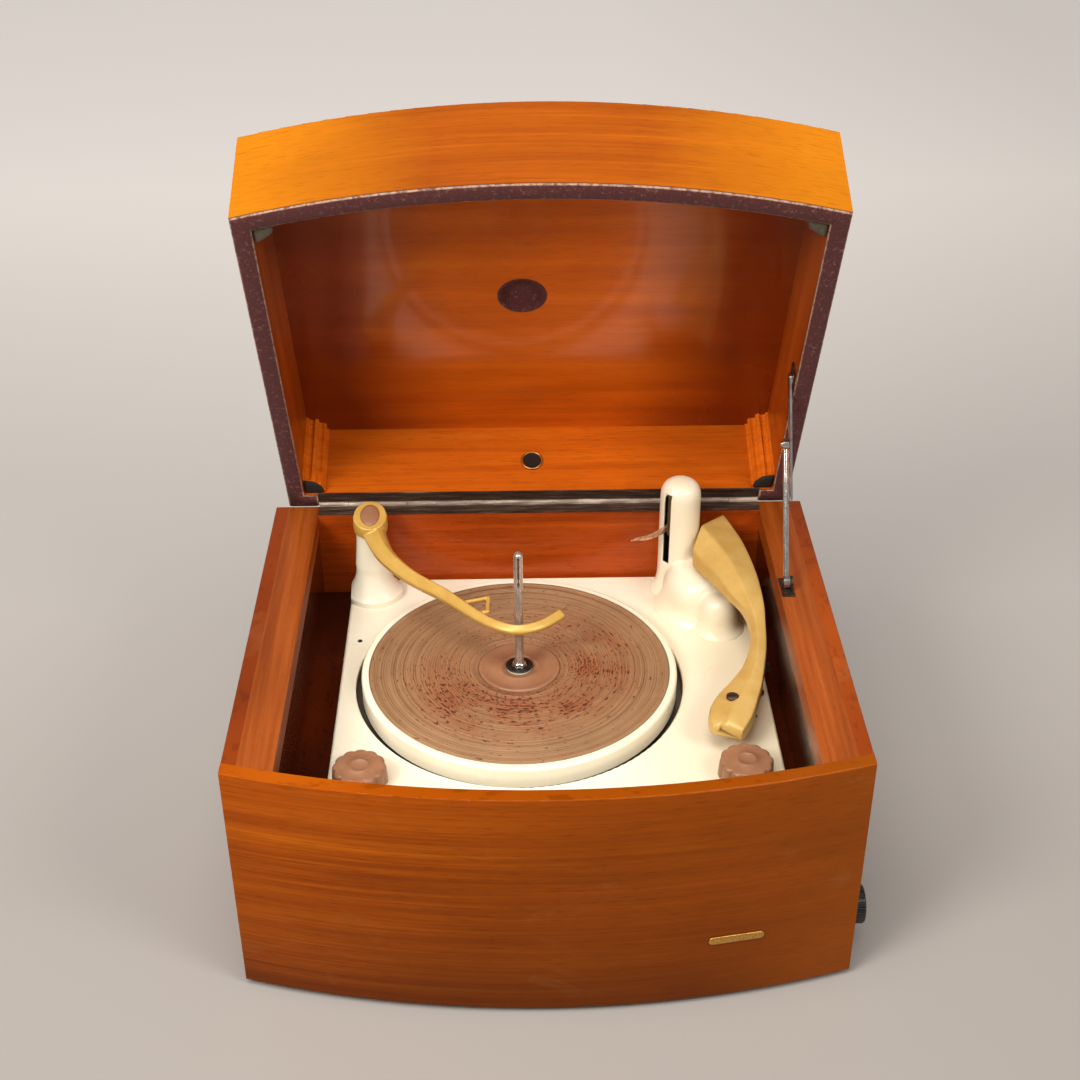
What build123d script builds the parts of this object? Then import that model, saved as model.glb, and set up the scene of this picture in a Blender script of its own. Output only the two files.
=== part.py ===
from build123d import *
import math
import os

# Table-top record player in a bow-fronted wooden cabinet, lid open.
# Millimetres. x to the right, y to the back, z up, standing plane at z = 0,
# origin on the cabinet's mid-plane, halfway along its straight sides.

# Cabinet
cabinet_width = 455.0
side_depth = 351.8
bow_rise = 32.9
cabinet_height = 201.7
plinth_height = 5.0
plinth_inset = 14.0
plinth_width = 26.0
wall = 11.0
back_rail_thick = 16.0
rail_width = 26.5
rail_thick = 18.0
lining_thick = 6.0
bottom_thick = 9.0
board_thick = 12.0
batten_size = 12.0
corner_block = 16.0
back_cover_thick = 4.0
edge_round = 1.0

# Lid
lid_rise = 31.3
lid_height = 81.9
lid_wall = 14.4
lid_back_thick = 12.0
lid_top_thick = 10.0
lid_setback = 4.6
lid_gap = 2.5
felt_clearance = 0.3
lid_open_angle = 65.5
lid_hole_radius = 19.0
lid_hole_depth = 6.0
lid_hole_x = -13.0
lid_hole_y = -11.0
corner_radius = 18.5
corner_flutes = 3
flute_radius = 3.0

# Hinge
hinge_half_length = 190.0
hinge_radius = 3.2
hinge_pin_radius = 1.3
hinge_axis_behind = 1.5
leaf_thick = 1.1
leaf_width = 13.0
knuckle_count = 15
knuckle_gap = 0.4
running = 0.05
clear = 0.3

# Lid stay
stay_y = 42.0
stay_height = 5.5
stay_off_lid_wall = 6.5
stay_rod_radius = 2.2
stay_rod_length = 110.0
stay_eye_radius = 4.8
stay_eye_thick = 5.0
stay_pin_radius = 2.0
stay_lid_y = 24.0
stay_lid_height = 13.0
stay_arm_length = 100.0
stay_arm_width = 9.0
stay_arm_thick = 1.8
stay_slot_start = 14.0

# Deck
deck_drop = 63.7
deck_left = -163.0
deck_right = 179.0
deck_front = -145.0
deck_back = 157.0
deck_sheet = 1.5
deck_flange = 12.0
deck_corner = 9.0
well_radius = 131.0
well_depth = 11.0
mount_radius = 7.0
mount_inset = 11.0
cutout_margin = 11.0

# Platter
platter_x = -19.0
platter_y = 10.0
platter_radius = 126.0
platter_sheet = 2.5
platter_rim_wall = 3.0
platter_rim_height = 17.5
platter_rise = 12.5
mat_radius = 120.0
mat_thick = 3.0
mat_ridges = 10
mat_groove = 0.7
hub_disc_radius = 32.5
hub_disc_thick = 2.8
hub_radius = 10.5
bearing_radius = 6.0
bearing_flange_radius = 16.0
spindle_radius = 3.55
spindle_rise = 121.0
spindle_blade_length = 30.0
spindle_slot = 1.9
latch_thick = 1.3

# Drive
idler_radius = 18.0
idler_thick = 2.0
idler_bearing_angle = 200.0
idler_level = 2.7
speed_steps = (6.85, 3.95, 2.95, 1.5)
step_height = 2.4
pulley_direction = 300.0
carrier_thick = 3.0
carrier_reach = 24.0
guide_radius = 3.0
motor_radius = 36.0
motor_height = 48.0
motor_drop = 35.0
motor_posts = (330.0, 30.0, 210.0)
motor_post_radius = 3.0

# Controls on the deck
knob_radius = 21.0
knob_height = 15.0
knob_lobes = 10
knob_scallop = 5.0
knob_shaft_radius = 3.0
speed_knob_at = (-138.0, -113.0)
start_knob_at = (148.0, -112.0)

# Controls on the side of the cabinet
side_knob_radius = 15.0
side_knob_length = 13.0
side_knob_y = (-139.0, -96.0)
side_knob_z = 37.0
pot_radius = 11.0
pot_depth = 10.0

# Record-holding arm
overarm_at = (-143.0, 135.0)
overarm_post_height = 64.4
overarm_hub_gap = 1.9
overarm_post_radius = 12.6
overarm_hub_radius = 14.3
overarm_hub_height = 14.0
overarm_pivot_radius = 4.0
overarm_base_radius = 24.0
# Route of the arm: x, y, height of its middle over the deck, width, thickness.
overarm_route = (
    (-142.0, 132.0, 73.0, 24.0, 12.0),
    (-136.0, 116.0, 68.5, 21.0, 13.0),
    (-125.0, 95.0, 61.5, 17.5, 12.0),
    (-106.5, 74.0, 58.5, 15.0, 11.0),
    (-77.0, 47.5, 57.0, 12.0, 9.5),
    (-51.0, 19.5, 56.0, 9.5, 8.0),
    (-35.0, 6.0, 56.0, 7.6, 7.0),
    (-19.5, 0.5, 56.0, 7.0, 6.6),
    (-3.0, 5.5, 56.0, 7.4, 6.6),
    (10.5, 17.0, 56.0, 8.0, 6.6),
    (14.0, 22.0, 56.0, 5.0, 4.4),
)

# Tone arm
tonearm_at = (148.0, 113.0)
tonearm_shell = 1.8
# Stations along the shell: x, y, width, underside and ridge over the deck, and
# how far the ridge lies to the right of the middle, as a share of the width.
tonearm_route = (
    (157.5, 152.0, 7.0, 56.0, 65.0, -0.30),
    (152.5, 134.0, 25.0, 47.0, 67.5, -0.40),
    (150.5, 106.0, 46.0, 42.0, 65.0, -0.20),
    (158.5, 83.0, 40.0, 41.6, 60.0, -0.12),
    (165.5, 63.5, 31.0, 38.6, 56.0, -0.10),
    (170.5, 45.0, 22.0, 34.0, 52.0, -0.10),
    (173.0, 24.0, 14.0, 32.0, 47.0, -0.10),
    (169.3, -4.0, 13.5, 30.0, 43.0, -0.06),
    (162.7, -28.0, 19.0, 27.0, 39.0, -0.02),
    (150.5, -49.5, 30.0, 22.0, 35.5, -0.02),
    (141.5, -70.0, 34.0, 19.0, 33.0, -0.02),
    (135.5, -87.0, 25.0, 18.0, 30.5, -0.02),
)
gimbal_pin_height = 50.0
gimbal_half_width = 11.0
gimbal_shaft_radius = 4.0
gimbal_shaft_length = 25.0
gimbal_upright_half = 3.0
cartridge_size = (11.0, 22.0, 4.6)
cartridge_at = (141.3, -68.0)
cartridge_base = 21.4
stylus_axis_height = 18.4
stylus_reach = 2.6

# Pedestal with the tall post for the size feeler
boss_at = (138.0, 112.0)
boss_radius = 41.0
boss_top_radius = 26.0
boss_height = 40.0
tower_at = (118.5, 137.5)
tower_radius = 17.0
tower_height = 109.0
tower_wall = 2.5
tower_slot_direction = 224.0
tower_slot_width = 6.6
tower_slot_low = 34.0
tower_slot_high = 96.0
feeler_direction = 218.0
feeler_height = 68.0
feeler_length = 55.0
feeler_thick = 1.6
arm_rest_at = (170.0, -13.0)
arm_rest_height = 28.1

# Speakers, one each side
speaker_y = 22.0
speaker_z = 59.0
grille_length = 150.0
grille_height = 70.0
grille_corner = 16.0
cloth_thick = 0.8
speaker_long = 160.0
speaker_short = 80.0
speaker_flange = 2.0
speaker_depth = 36.0
magnet_radius = 24.0
magnet_depth = 20.0

# Amplifier
chassis_length = 190.0
chassis_depth = 96.0
chassis_height = 36.0
chassis_sheet = 1.2
chassis_x = -8.0
chassis_back_gap = 6.0
valve_radius = 10.5
valve_height = 48.0
valve_count = 4
valve_spacing = 30.0

# Derived places
half_width = cabinet_width / 2
back_y = side_depth / 2
floor_z = plinth_height
rim_z = floor_z + cabinet_height
bow_radius = (half_width**2 + bow_rise**2) / (2 * bow_rise)
bow_centre = -back_y - bow_rise + bow_radius
inner_radius = bow_radius - wall
inner_x = half_width - wall
ledge_x = inner_x - rail_width
back_inner_y = back_y - back_rail_thick
bottom_top = floor_z + bottom_thick
deck_z = rim_z - deck_drop
flange_z = deck_z - deck_flange
board_top = flange_z - 3.0
board_low = board_top - board_thick
cover_top = board_low - batten_size
lid_half = inner_x - 0.1
lid_radius = (lid_half**2 + lid_rise**2) / (2 * lid_rise)
lid_centre = -back_y - bow_rise + lid_setback + lid_radius
lid_low = rim_z + lid_gap
lid_high = rim_z + lid_height
lid_inner_x = lid_half - lid_wall
lid_inner_back = back_y - lid_back_thick
lid_ceiling = lid_high - lid_top_thick
stay_plane = lid_inner_x - stay_off_lid_wall
hinge_y = back_y + hinge_axis_behind
hinge_z = rim_z + lid_gap / 2
hinge_axis = Axis((0, hinge_y, hinge_z), (1, 0, 0))
well_floor = deck_z - well_depth
platter_top = deck_z + platter_rise - mat_thick + 0.5
rim_inner = platter_radius - platter_rim_wall


def block(x0, x1, y0, y1, z0, z1):
    """Box between two corners."""
    size = Box(abs(x1 - x0), abs(y1 - y0), abs(z1 - z0))
    return Pos((x0 + x1) / 2, (y0 + y1) / 2, (z0 + z1) / 2) * size


def rod(x, y, z0, z1, radius):
    """Upright cylinder from z0 to z1."""
    return Pos(x, y, (z0 + z1) / 2) * Cylinder(radius, abs(z1 - z0))


def bar_x(x0, x1, y, z, radius):
    """Cylinder along x."""
    return Pos((x0 + x1) / 2, y, z) * Rot(0, 90, 0) * Cylinder(radius, abs(x1 - x0))


def bowed(half, y_back, radius, centre, z0, z1):
    """Plank with straight sides and back and an arc-shaped front."""
    corner = centre - math.sqrt(radius**2 - half**2)
    sides = Polyline((half, corner), (half, y_back), (-half, y_back), (-half, corner))
    front = ThreePointArc((-half, corner), (0, centre - radius), (half, corner))
    return Pos(0, 0, z0) * extrude(make_face(sides + front), z1 - z0, dir=(0, 0, 1))


def both_sides(piece):
    """The piece and its mirror image across the mid-plane."""
    return [piece, mirror(piece, Plane.YZ)]


def save(node, *solids):
    """Write one sub-part, made of one or more separate solids."""
    flat = []
    for item in solids:
        flat.extend(item.solids())
    shape = flat[0] if len(flat) == 1 else Compound(children=flat)
    export_step(shape, f"parts/{node}.step")


def opened(piece):
    """Swing a piece drawn on the closed lid up to the lid's resting angle."""
    return piece.rotate(hinge_axis, -lid_open_angle)


def swing_point(y, z, degrees):
    """Turn a point in the y-z plane about the hinge."""
    c = math.cos(math.radians(degrees))
    s = math.sin(math.radians(degrees))
    dy = y - hinge_y
    dz = z - hinge_z
    return hinge_y + dy * c - dz * s, hinge_z + dy * s + dz * c


inside = bowed(half_width + 60, back_y + 60, inner_radius, bow_centre, -20, rim_z + 200)


# Cabinet carcase
def cabinet():
    shell = bowed(half_width, 0, bow_radius, bow_centre, floor_z, rim_z)
    front = shell - inside
    outer = [e for e in front.edges() if e.center().Y < -back_y and abs(e.center().X) < 1]
    top_edge = sorted(outer, key=lambda e: e.center().Y)[:2]
    save("front_panel", fillet(top_edge, edge_round))

    side = block(inner_x, half_width, -back_y - bow_rise, back_y, floor_z, rim_z) & inside
    opening = Pos(0, speaker_y, speaker_z) * Rot(0, 90, 0) * extrude(
        RectangleRounded(grille_height, grille_length, grille_corner), half_width * 2)
    side -= opening
    outer_edges = [e for e in side.edges().filter_by(Axis.Y)
                   if e.center().X > half_width - 0.1 and e.length > side_depth / 2]
    side = fillet(outer_edges, edge_round)
    left = mirror(side, Plane.YZ)
    for y in side_knob_y:
        side -= bar_x(inner_x - 1, half_width + 1, y, side_knob_z, knob_shaft_radius + running)
    save("left_side_wall", left)
    save("right_side_wall", side)

    rail_low = rim_z - rail_thick
    rail = block(ledge_x, inner_x, -back_y - bow_rise, back_y, rail_low, rim_z) & inside
    save("rim_rails", *both_sides(rail))
    lining = block(ledge_x, ledge_x + lining_thick, -back_y, back_inner_y, board_top, rail_low) & inside
    save("inner_linings", *both_sides(lining))

    back = block(-inner_x, inner_x, back_inner_y, back_y, cover_top, rim_z)
    for sign in (-1, 1):
        back -= block(sign * ledge_x, sign * inner_x, back_inner_y - 1, back_y + 1, rail_low, rim_z + 1)
    back -= bar_x(-hinge_half_length - clear, hinge_half_length + clear, hinge_y, hinge_z,
                  hinge_radius + 2 * clear)
    save("back_rail", back)

    cover = block(-inner_x + clear, inner_x - clear, back_y - back_cover_thick, back_y,
                  bottom_top, cover_top)
    slot_pitch = 15.0
    for row in range(3):
        for column in range(16):
            slot = Rot(90, 0, 0) * extrude(SlotOverall(14, 5), back_cover_thick * 3, both=True)
            x = (column - 7.5) * slot_pitch
            cover -= Pos(x, back_y, bottom_top + 28 + row * 20) * Rot(0, 90, 0) * slot
    inlet = block(130, 166, back_y - 10, back_y + 5, bottom_top + 10, bottom_top + 34)
    save("back_cover", cover - inlet)

    base = bowed(inner_x, back_y, inner_radius, bow_centre, floor_z, bottom_top)
    save("bottom_board", base)

    outer = bowed(half_width - plinth_inset, back_y - plinth_inset, bow_radius - plinth_inset,
                  bow_centre, 0, floor_z)
    inner_edge = plinth_inset + plinth_width
    hollow = bowed(half_width - inner_edge, back_y - inner_edge, bow_radius - inner_edge,
                   bow_centre, -1, floor_z + 1)
    save("plinth_frame", outer - hollow)

    board = bowed(inner_x, back_inner_y, inner_radius - 1, bow_centre, board_low, board_top)
    board -= block(deck_left + 2 * cutout_margin + 1, deck_right - 2 * cutout_margin,
                   deck_front + 2 * cutout_margin + 1, deck_back - 2 * cutout_margin - 1,
                   board_low - 1, board_top + 1)
    save("motor_board", board)

    side_batten = block(inner_x - batten_size, inner_x, -back_y, back_inner_y, cover_top, board_low)
    front_zone = bowed(ledge_x, -100, inner_radius - running, bow_centre, cover_top, board_low)
    front_batten = front_zone - bowed(ledge_x + 1, -50, inner_radius - batten_size, bow_centre,
                                      cover_top - 1, board_low + 1)
    stiles = []
    front_corner = bow_centre - math.sqrt(inner_radius**2 - inner_x**2)
    for y0, y1 in ((front_corner - 20, front_corner + corner_block),
                   (back_y - back_cover_thick - corner_block, back_y - back_cover_thick)):
        stile = block(inner_x - corner_block, inner_x, y0, y1, bottom_top, cover_top) & inside
        stiles.extend(both_sides(stile))
    save("board_battens", *both_sides(side_batten & inside), front_batten, *stiles)


# Lid boards, drawn closed and swung open
def lid():
    core = bowed(lid_half + 60, back_y + 60, lid_radius - lid_wall, lid_centre, 0, lid_high + 50)
    front = bowed(lid_half, 0, lid_radius, lid_centre, lid_low, lid_high) - core
    top_edges = [e for e in front.edges() if e.center().Z > lid_high - 0.1 and abs(e.center().X) < 1]
    front = fillet(sorted(top_edges, key=lambda e: e.center().Y)[:1], edge_round)
    save("lid_front", opened(front))

    side = block(lid_inner_x, lid_half, -back_y * 2, lid_inner_back, lid_low, lid_high) & core
    save("lid_right_side", opened(side))
    save("lid_left_side", opened(mirror(side, Plane.YZ)))

    back = block(-lid_half, lid_half, lid_inner_back, back_y, lid_low, lid_high)
    back -= bar_x(-hinge_half_length - clear, hinge_half_length + clear, hinge_y, hinge_z,
                  hinge_radius + 2 * clear)
    save("lid_back", opened(back))

    panel = bowed(lid_inner_x, lid_inner_back, lid_radius - lid_wall, lid_centre, lid_ceiling, lid_high)
    panel -= rod(lid_hole_x, lid_hole_y, lid_ceiling - 1, lid_ceiling + lid_hole_depth, lid_hole_radius)
    save("lid_top", opened(panel))

    quarter = rod(lid_inner_x, lid_inner_back, lid_low + 3, lid_ceiling, corner_radius)
    quarter &= block(lid_inner_x - 40, lid_inner_x, lid_inner_back - 40, lid_inner_back,
                     lid_low, lid_ceiling)
    for k in range(corner_flutes):
        angle = math.radians(180 + 90 * (k + 0.5) / corner_flutes)
        quarter -= rod(lid_inner_x + corner_radius * math.cos(angle),
                       lid_inner_back + corner_radius * math.sin(angle),
                       lid_low, lid_ceiling + 1, flute_radius)
    save("lid_corner_blocks", *[opened(q) for q in both_sides(quarter)])

    felt_low = rim_z + felt_clearance
    felt = bowed(lid_half - 0.4, back_y - 0.4, lid_radius - 0.4, lid_centre, felt_low, lid_low)
    felt -= bowed(lid_inner_x, lid_inner_back, lid_radius - lid_wall, lid_centre, felt_low - 1, lid_low + 1)
    felt -= block(-hinge_half_length - clear, hinge_half_length + clear, lid_inner_back - 1, back_y + 1,
                  felt_low - 1, lid_low + 1)
    save("lid_rim_felt", opened(felt))


# Piano hinge: two leaves with alternate knuckles on one long pin
def hinge():
    pitch = 2 * hinge_half_length / knuckle_count
    bore = bar_x(-hinge_half_length - 1, hinge_half_length + 1, hinge_y, hinge_z,
                 hinge_pin_radius + running)

    def leaf(z0, z1, first):
        # The strip stops short of the other leaf's knuckles.
        strip = block(-hinge_half_length, hinge_half_length, back_y - leaf_width - 1.5,
                      hinge_y - hinge_radius - clear, z0, z1)
        for k in range(first, knuckle_count, 2):
            x0 = -hinge_half_length + k * pitch + knuckle_gap / 2
            x1 = x0 + pitch - knuckle_gap
            strip += bar_x(x0, x1, hinge_y, hinge_z, hinge_radius)
            strip += block(x0, x1, hinge_y - hinge_radius - 1, hinge_y - hinge_pin_radius - 0.3, z0, z1)
        return strip - bore

    save("hinge_base_leaf", leaf(rim_z, rim_z + leaf_thick, 0))
    save("hinge_lid_leaf", opened(leaf(lid_low - leaf_thick, lid_low, 1)))
    save("hinge_pin", bar_x(-hinge_half_length, hinge_half_length, hinge_y, hinge_z, hinge_pin_radius))


# Two-piece stay on the right-hand side of the lid
def stay():
    foot = (stay_y, rim_z + stay_height)
    head = swing_point(stay_lid_y, rim_z + stay_lid_height, -lid_open_angle)
    slope = math.degrees(math.atan2(head[1] - foot[1], head[0] - foot[0]))
    rod_inner = stay_plane + stay_eye_thick / 2
    arm_x = rod_inner + clear + 0.3

    def laid(piece, at):
        # Drawn along +y from the pivot, then tipped up to the stay's slope.
        return Pos(0, at[0], at[1]) * Rot(slope, 0, 0) * piece

    link = Pos(stay_plane, stay_rod_length / 2, 0) * Rot(90, 0, 0) * Cylinder(
        stay_rod_radius, stay_rod_length)
    eye_x = (stay_plane - stay_eye_thick / 2, rod_inner)
    link += bar_x(*eye_x, 0, 0, stay_eye_radius)
    link += bar_x(*eye_x, stay_rod_length, 0, stay_eye_radius - 0.4)
    link += bar_x(eye_x[0] - 1.5, eye_x[0], stay_rod_length, 0, stay_pin_radius + 0.6)
    link -= bar_x(eye_x[0] - 1, eye_x[1] + 1, 0, 0, stay_pin_radius + running)
    save("stay_rod", laid(link, foot))

    end = stay_arm_length - stay_arm_width / 2
    strap = block(arm_x, arm_x + stay_arm_thick, -end, 0, -stay_arm_width / 2, stay_arm_width / 2)
    strap += bar_x(arm_x, arm_x + stay_arm_thick, 0, 0, stay_arm_width / 2)
    strap += bar_x(arm_x, arm_x + stay_arm_thick, -end, 0, stay_arm_width / 2)
    slot_half = stay_pin_radius + 0.2
    strap -= block(arm_x - 1, arm_x + 5, -end, -stay_slot_start, -slot_half, slot_half)
    strap -= bar_x(arm_x - 1, arm_x + 5, 0, 0, stay_pin_radius + running)
    save("stay_arm", laid(strap, head))

    bracket = block(ledge_x + 1, lid_inner_x - 0.6, foot[0] - 13, foot[0] + 13, rim_z, rim_z + 0.6)
    ear = block(arm_x, arm_x + 2, foot[0] - 5, foot[0] + 5, rim_z, foot[1])
    ear += bar_x(arm_x, arm_x + 2, foot[0], foot[1], 5)
    bracket += ear
    bracket += bar_x(eye_x[0] - 0.8, arm_x + 1, foot[0], foot[1], stay_pin_radius)
    save("stay_cabinet_bracket", bracket)

    lid_y = stay_lid_y
    lid_z = rim_z + stay_lid_height
    plate_x = arm_x + stay_arm_thick + 0.2
    plate = block(plate_x, lid_inner_x, lid_y - 12, lid_y + 12, lid_z - 7, lid_z + 7)
    plate += bar_x(arm_x - 0.6, lid_inner_x, lid_y, lid_z, stay_pin_radius)
    save("stay_lid_bracket", opened(plate))
    return slope


# Pressed steel deck with its well, and what stands on it
def drive_points():
    ring = rim_inner - idler_radius - clear
    a = math.radians(idler_bearing_angle)
    idler = (platter_x + ring * math.cos(a), platter_y + ring * math.sin(a))
    reach = idler_radius + speed_steps[0] + clear
    b = math.radians(pulley_direction)
    pulley = (idler[0] + reach * math.cos(b), idler[1] + reach * math.sin(b))
    guide = (idler[0], idler[1] + carrier_reach)
    return idler, pulley, guide


def deck():
    idler, pulley, guide = drive_points()
    tray = block(deck_left, deck_right, deck_front, deck_back, flange_z, deck_z)
    tray = fillet(tray.edges().filter_by(Axis.Z), deck_corner)
    tray = fillet(tray.faces().sort_by(Axis.Z)[-1].edges(), 2.5)
    under = block(deck_left + deck_sheet, deck_right - deck_sheet, deck_front + deck_sheet,
                  deck_back - deck_sheet, flange_z - 1, deck_z - deck_sheet)
    under = fillet(under.edges().filter_by(Axis.Z), deck_corner - deck_sheet)
    well_outer = rod(platter_x, platter_y, well_floor - deck_sheet, deck_z - deck_sheet / 2,
                     well_radius + deck_sheet)
    plate = tray - under
    plate += well_outer & block(deck_left, deck_right, deck_front, deck_back, 0, deck_z)
    plate -= rod(platter_x, platter_y, well_floor, deck_z + 5, well_radius)
    lip = [e for e in plate.edges().filter_by(GeomType.CIRCLE)
           if abs(e.radius - well_radius) < 0.01 and abs(e.center().Z - deck_z) < 0.01]
    plate = fillet(lip, deck_sheet * 0.9)
    plate += rod(guide[0], guide[1], flange_z - 18, well_floor - deck_sheet / 2, guide_radius)
    holes = [(platter_x, platter_y, bearing_radius + running)]
    holes += [(idler[0], idler[1], 5.0), (pulley[0], pulley[1], speed_steps[0] + 3)]
    for at in (speed_knob_at, start_knob_at):
        holes.append((at[0], at[1], knob_shaft_radius + running))
    for x, y, radius in holes:
        plate -= rod(x, y, well_floor - 20, deck_z + 5, radius)
    save("deck_plate", plate)

    mounts = []
    for x in (deck_left + mount_inset, deck_right - mount_inset):
        for y in (deck_front + mount_inset, deck_back - mount_inset):
            bush = rod(x, y, board_top, deck_z - deck_sheet, mount_radius)
            bush -= rod(x, y, board_top - 1, deck_z, 2.0)
            waist = Pos(x, y, (board_top + deck_z - deck_sheet) / 2) * Torus(mount_radius + 1, 2.5)
            mounts.append(bush - waist)
    save("deck_mounts", *mounts)

    rest = rod(arm_rest_at[0], arm_rest_at[1], deck_z, deck_z + arm_rest_height - 4, 3.0)
    rest += rod(arm_rest_at[0], arm_rest_at[1], deck_z, deck_z + 2, 5.0)
    saddle = block(-9, 7.8, -2.5, 2.5, arm_rest_height - 5, arm_rest_height)
    saddle += block(6.0, 7.8, -2.5, 2.5, arm_rest_height - 5, arm_rest_height + 1)
    rest += Pos(arm_rest_at[0], arm_rest_at[1], deck_z) * saddle
    save("arm_rest", rest)


def overarm_post():
    x, y = overarm_at
    stem = Polyline((0, 0, 0), (overarm_base_radius, 0, 0), (overarm_base_radius, 0, 5), (22, 0, 7))
    flare = ThreePointArc((22, 0, 7), (16.8, 0, 16), (14.6, 0, 32))
    top = Polyline((14.6, 0, 32), (overarm_post_radius, 0, overarm_post_height - 8),
                   (overarm_post_radius, 0, overarm_post_height), (0, 0, overarm_post_height), (0, 0, 0))
    post = Pos(x, y, deck_z) * revolve(make_face(stem + flare + top), Axis.Z)
    trim = block(deck_left + 0.6, deck_right, deck_front, deck_back - 0.6, deck_z, rim_z + 90)
    post &= trim
    post -= rod(x, y, deck_z + 8, rim_z + 50, overarm_pivot_radius + running)
    save("overarm_post", post)


def oval_section(at, towards, width, thick):
    """Rounded section square to the route, for a loft."""
    plane = Plane(origin=at, x_dir=(-towards[1], towards[0], 0), z_dir=towards)
    return plane * Ellipse(width / 2, thick / 2)


def route_direction(points, k):
    """Direction of a route at one of its points, from its neighbours."""
    a = points[max(k - 1, 0)]
    b = points[min(k + 1, len(points) - 1)]
    return (Vector(*b) - Vector(*a)).normalized()


def overarm():
    x, y = overarm_at
    z = deck_z + overarm_post_height + overarm_hub_gap
    hub = rod(x, y, z, z + overarm_hub_height, overarm_hub_radius)
    hub = fillet(hub.faces().sort_by(Axis.Z)[-1].edges(), 3)
    points = [(px, py, deck_z + h) for px, py, h, _, _ in overarm_route]
    sections = []
    for k, (_, _, _, width, thick) in enumerate(overarm_route):
        d = route_direction(points, k)
        sections.append(oval_section(points[k], (d.X, d.Y, d.Z), width, thick))
    arm = loft(sections)
    arm += hub
    tab_x, tab_y, tab_z = points[5]
    tab = extrude(make_face(Polyline((0, 0), (11, 0), (9, 9), close=True)), 2.2, both=True)
    tab -= extrude(make_face(Polyline((4.5, 1.8), (8.6, 1.8), (7.8, 5.6), close=True)), 3, both=True)
    arm += Pos(tab_x, tab_y + 4.5, tab_z) * Rot(0, 0, 20) * tab
    arm -= rod(x, y, deck_z, z, overarm_post_radius + 2 * clear)
    shaft_top = z + overarm_hub_height - 4
    arm -= rod(x, y, z - 1, shaft_top + clear, overarm_pivot_radius + running)
    save("overarm", arm)
    save("overarm_shaft", rod(x, y, deck_z + 8 + clear, shaft_top, overarm_pivot_radius))


def pedestal():
    bx, by = boss_at
    base = Polyline((0, 0, 0), (boss_radius, 0, 0), (boss_radius - 1, 0, 2))
    sweep = ThreePointArc((boss_radius - 1, 0, 2), (boss_top_radius + 5.5, 0, 14),
                          (boss_top_radius, 0, boss_height - 3))
    cap = Polyline((boss_top_radius, 0, boss_height - 3), (boss_top_radius - 3, 0, boss_height),
                   (0, 0, boss_height), (0, 0, 0))
    body = Pos(bx, by, deck_z) * revolve(make_face(base + sweep + cap), Axis.Z)
    tx, ty = tower_at
    tower = rod(tx, ty, deck_z, deck_z + tower_height, tower_radius)
    tower = fillet(tower.faces().sort_by(Axis.Z)[-1].edges(), tower_radius - 4)
    foot = Polyline((tower_radius, 0, 24), (0, 0, 24), (0, 0, 0), (tower_radius + 9, 0, 0))
    skirt = ThreePointArc((tower_radius + 9, 0, 0), (tower_radius + 2.4, 0, 9), (tower_radius, 0, 24))
    tower += Pos(tx, ty, deck_z) * revolve(make_face(foot + skirt), Axis.Z)
    body += tower
    body &= block(deck_left, deck_right - 1, deck_front, deck_back - 0.6, deck_z, rim_z + 90)
    body -= rod(tx, ty, deck_z + 3, deck_z + tower_height - 16, tower_radius - tower_wall)
    middle = (tower_slot_low + tower_slot_high) / 2
    slot = block(6, tower_radius + 12, -tower_slot_width / 2, tower_slot_width / 2,
                 tower_slot_low - middle, tower_slot_high - middle)
    body -= Pos(tx, ty, deck_z + middle) * Rot(0, 0, tower_slot_direction) * slot
    pin_hole = Rot(0, 0, feeler_direction) * Rot(90, 0, 0) * Cylinder(
        1.5 + running, 2 * tower_radius - 1)
    body -= Pos(tx, ty, deck_z + feeler_height) * pin_hole
    px, py = tonearm_at
    body -= rod(px, py, deck_z + boss_height - gimbal_shaft_length - 1, deck_z + boss_height + 1,
                gimbal_shaft_radius + running)
    save("arm_pedestal", body)

    outer = Polyline((0, 3.2), (tower_radius, 2.2))
    over = ThreePointArc((tower_radius, 2.2), (tower_radius + 16, -0.6), (feeler_length, 1.5))
    under = ThreePointArc((feeler_length, 1.5), (tower_radius + 15, -4.2), (tower_radius, -2.2))
    close = Polyline((tower_radius, -2.2), (0, -3.2), (0, 3.2))
    blade = extrude(make_face(outer + over + under + close), feeler_thick / 2, both=True)
    blade = Rot(90, 0, 0) * blade
    blade += Rot(90, 0, 0) * Cylinder(3.6, feeler_thick)
    blade += Rot(90, 0, 0) * Cylinder(1.5, 2 * (tower_radius - 1.2))
    save("feeler_lever", Pos(tx, ty, deck_z + feeler_height) * Rot(0, 0, feeler_direction) * blade)


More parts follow.
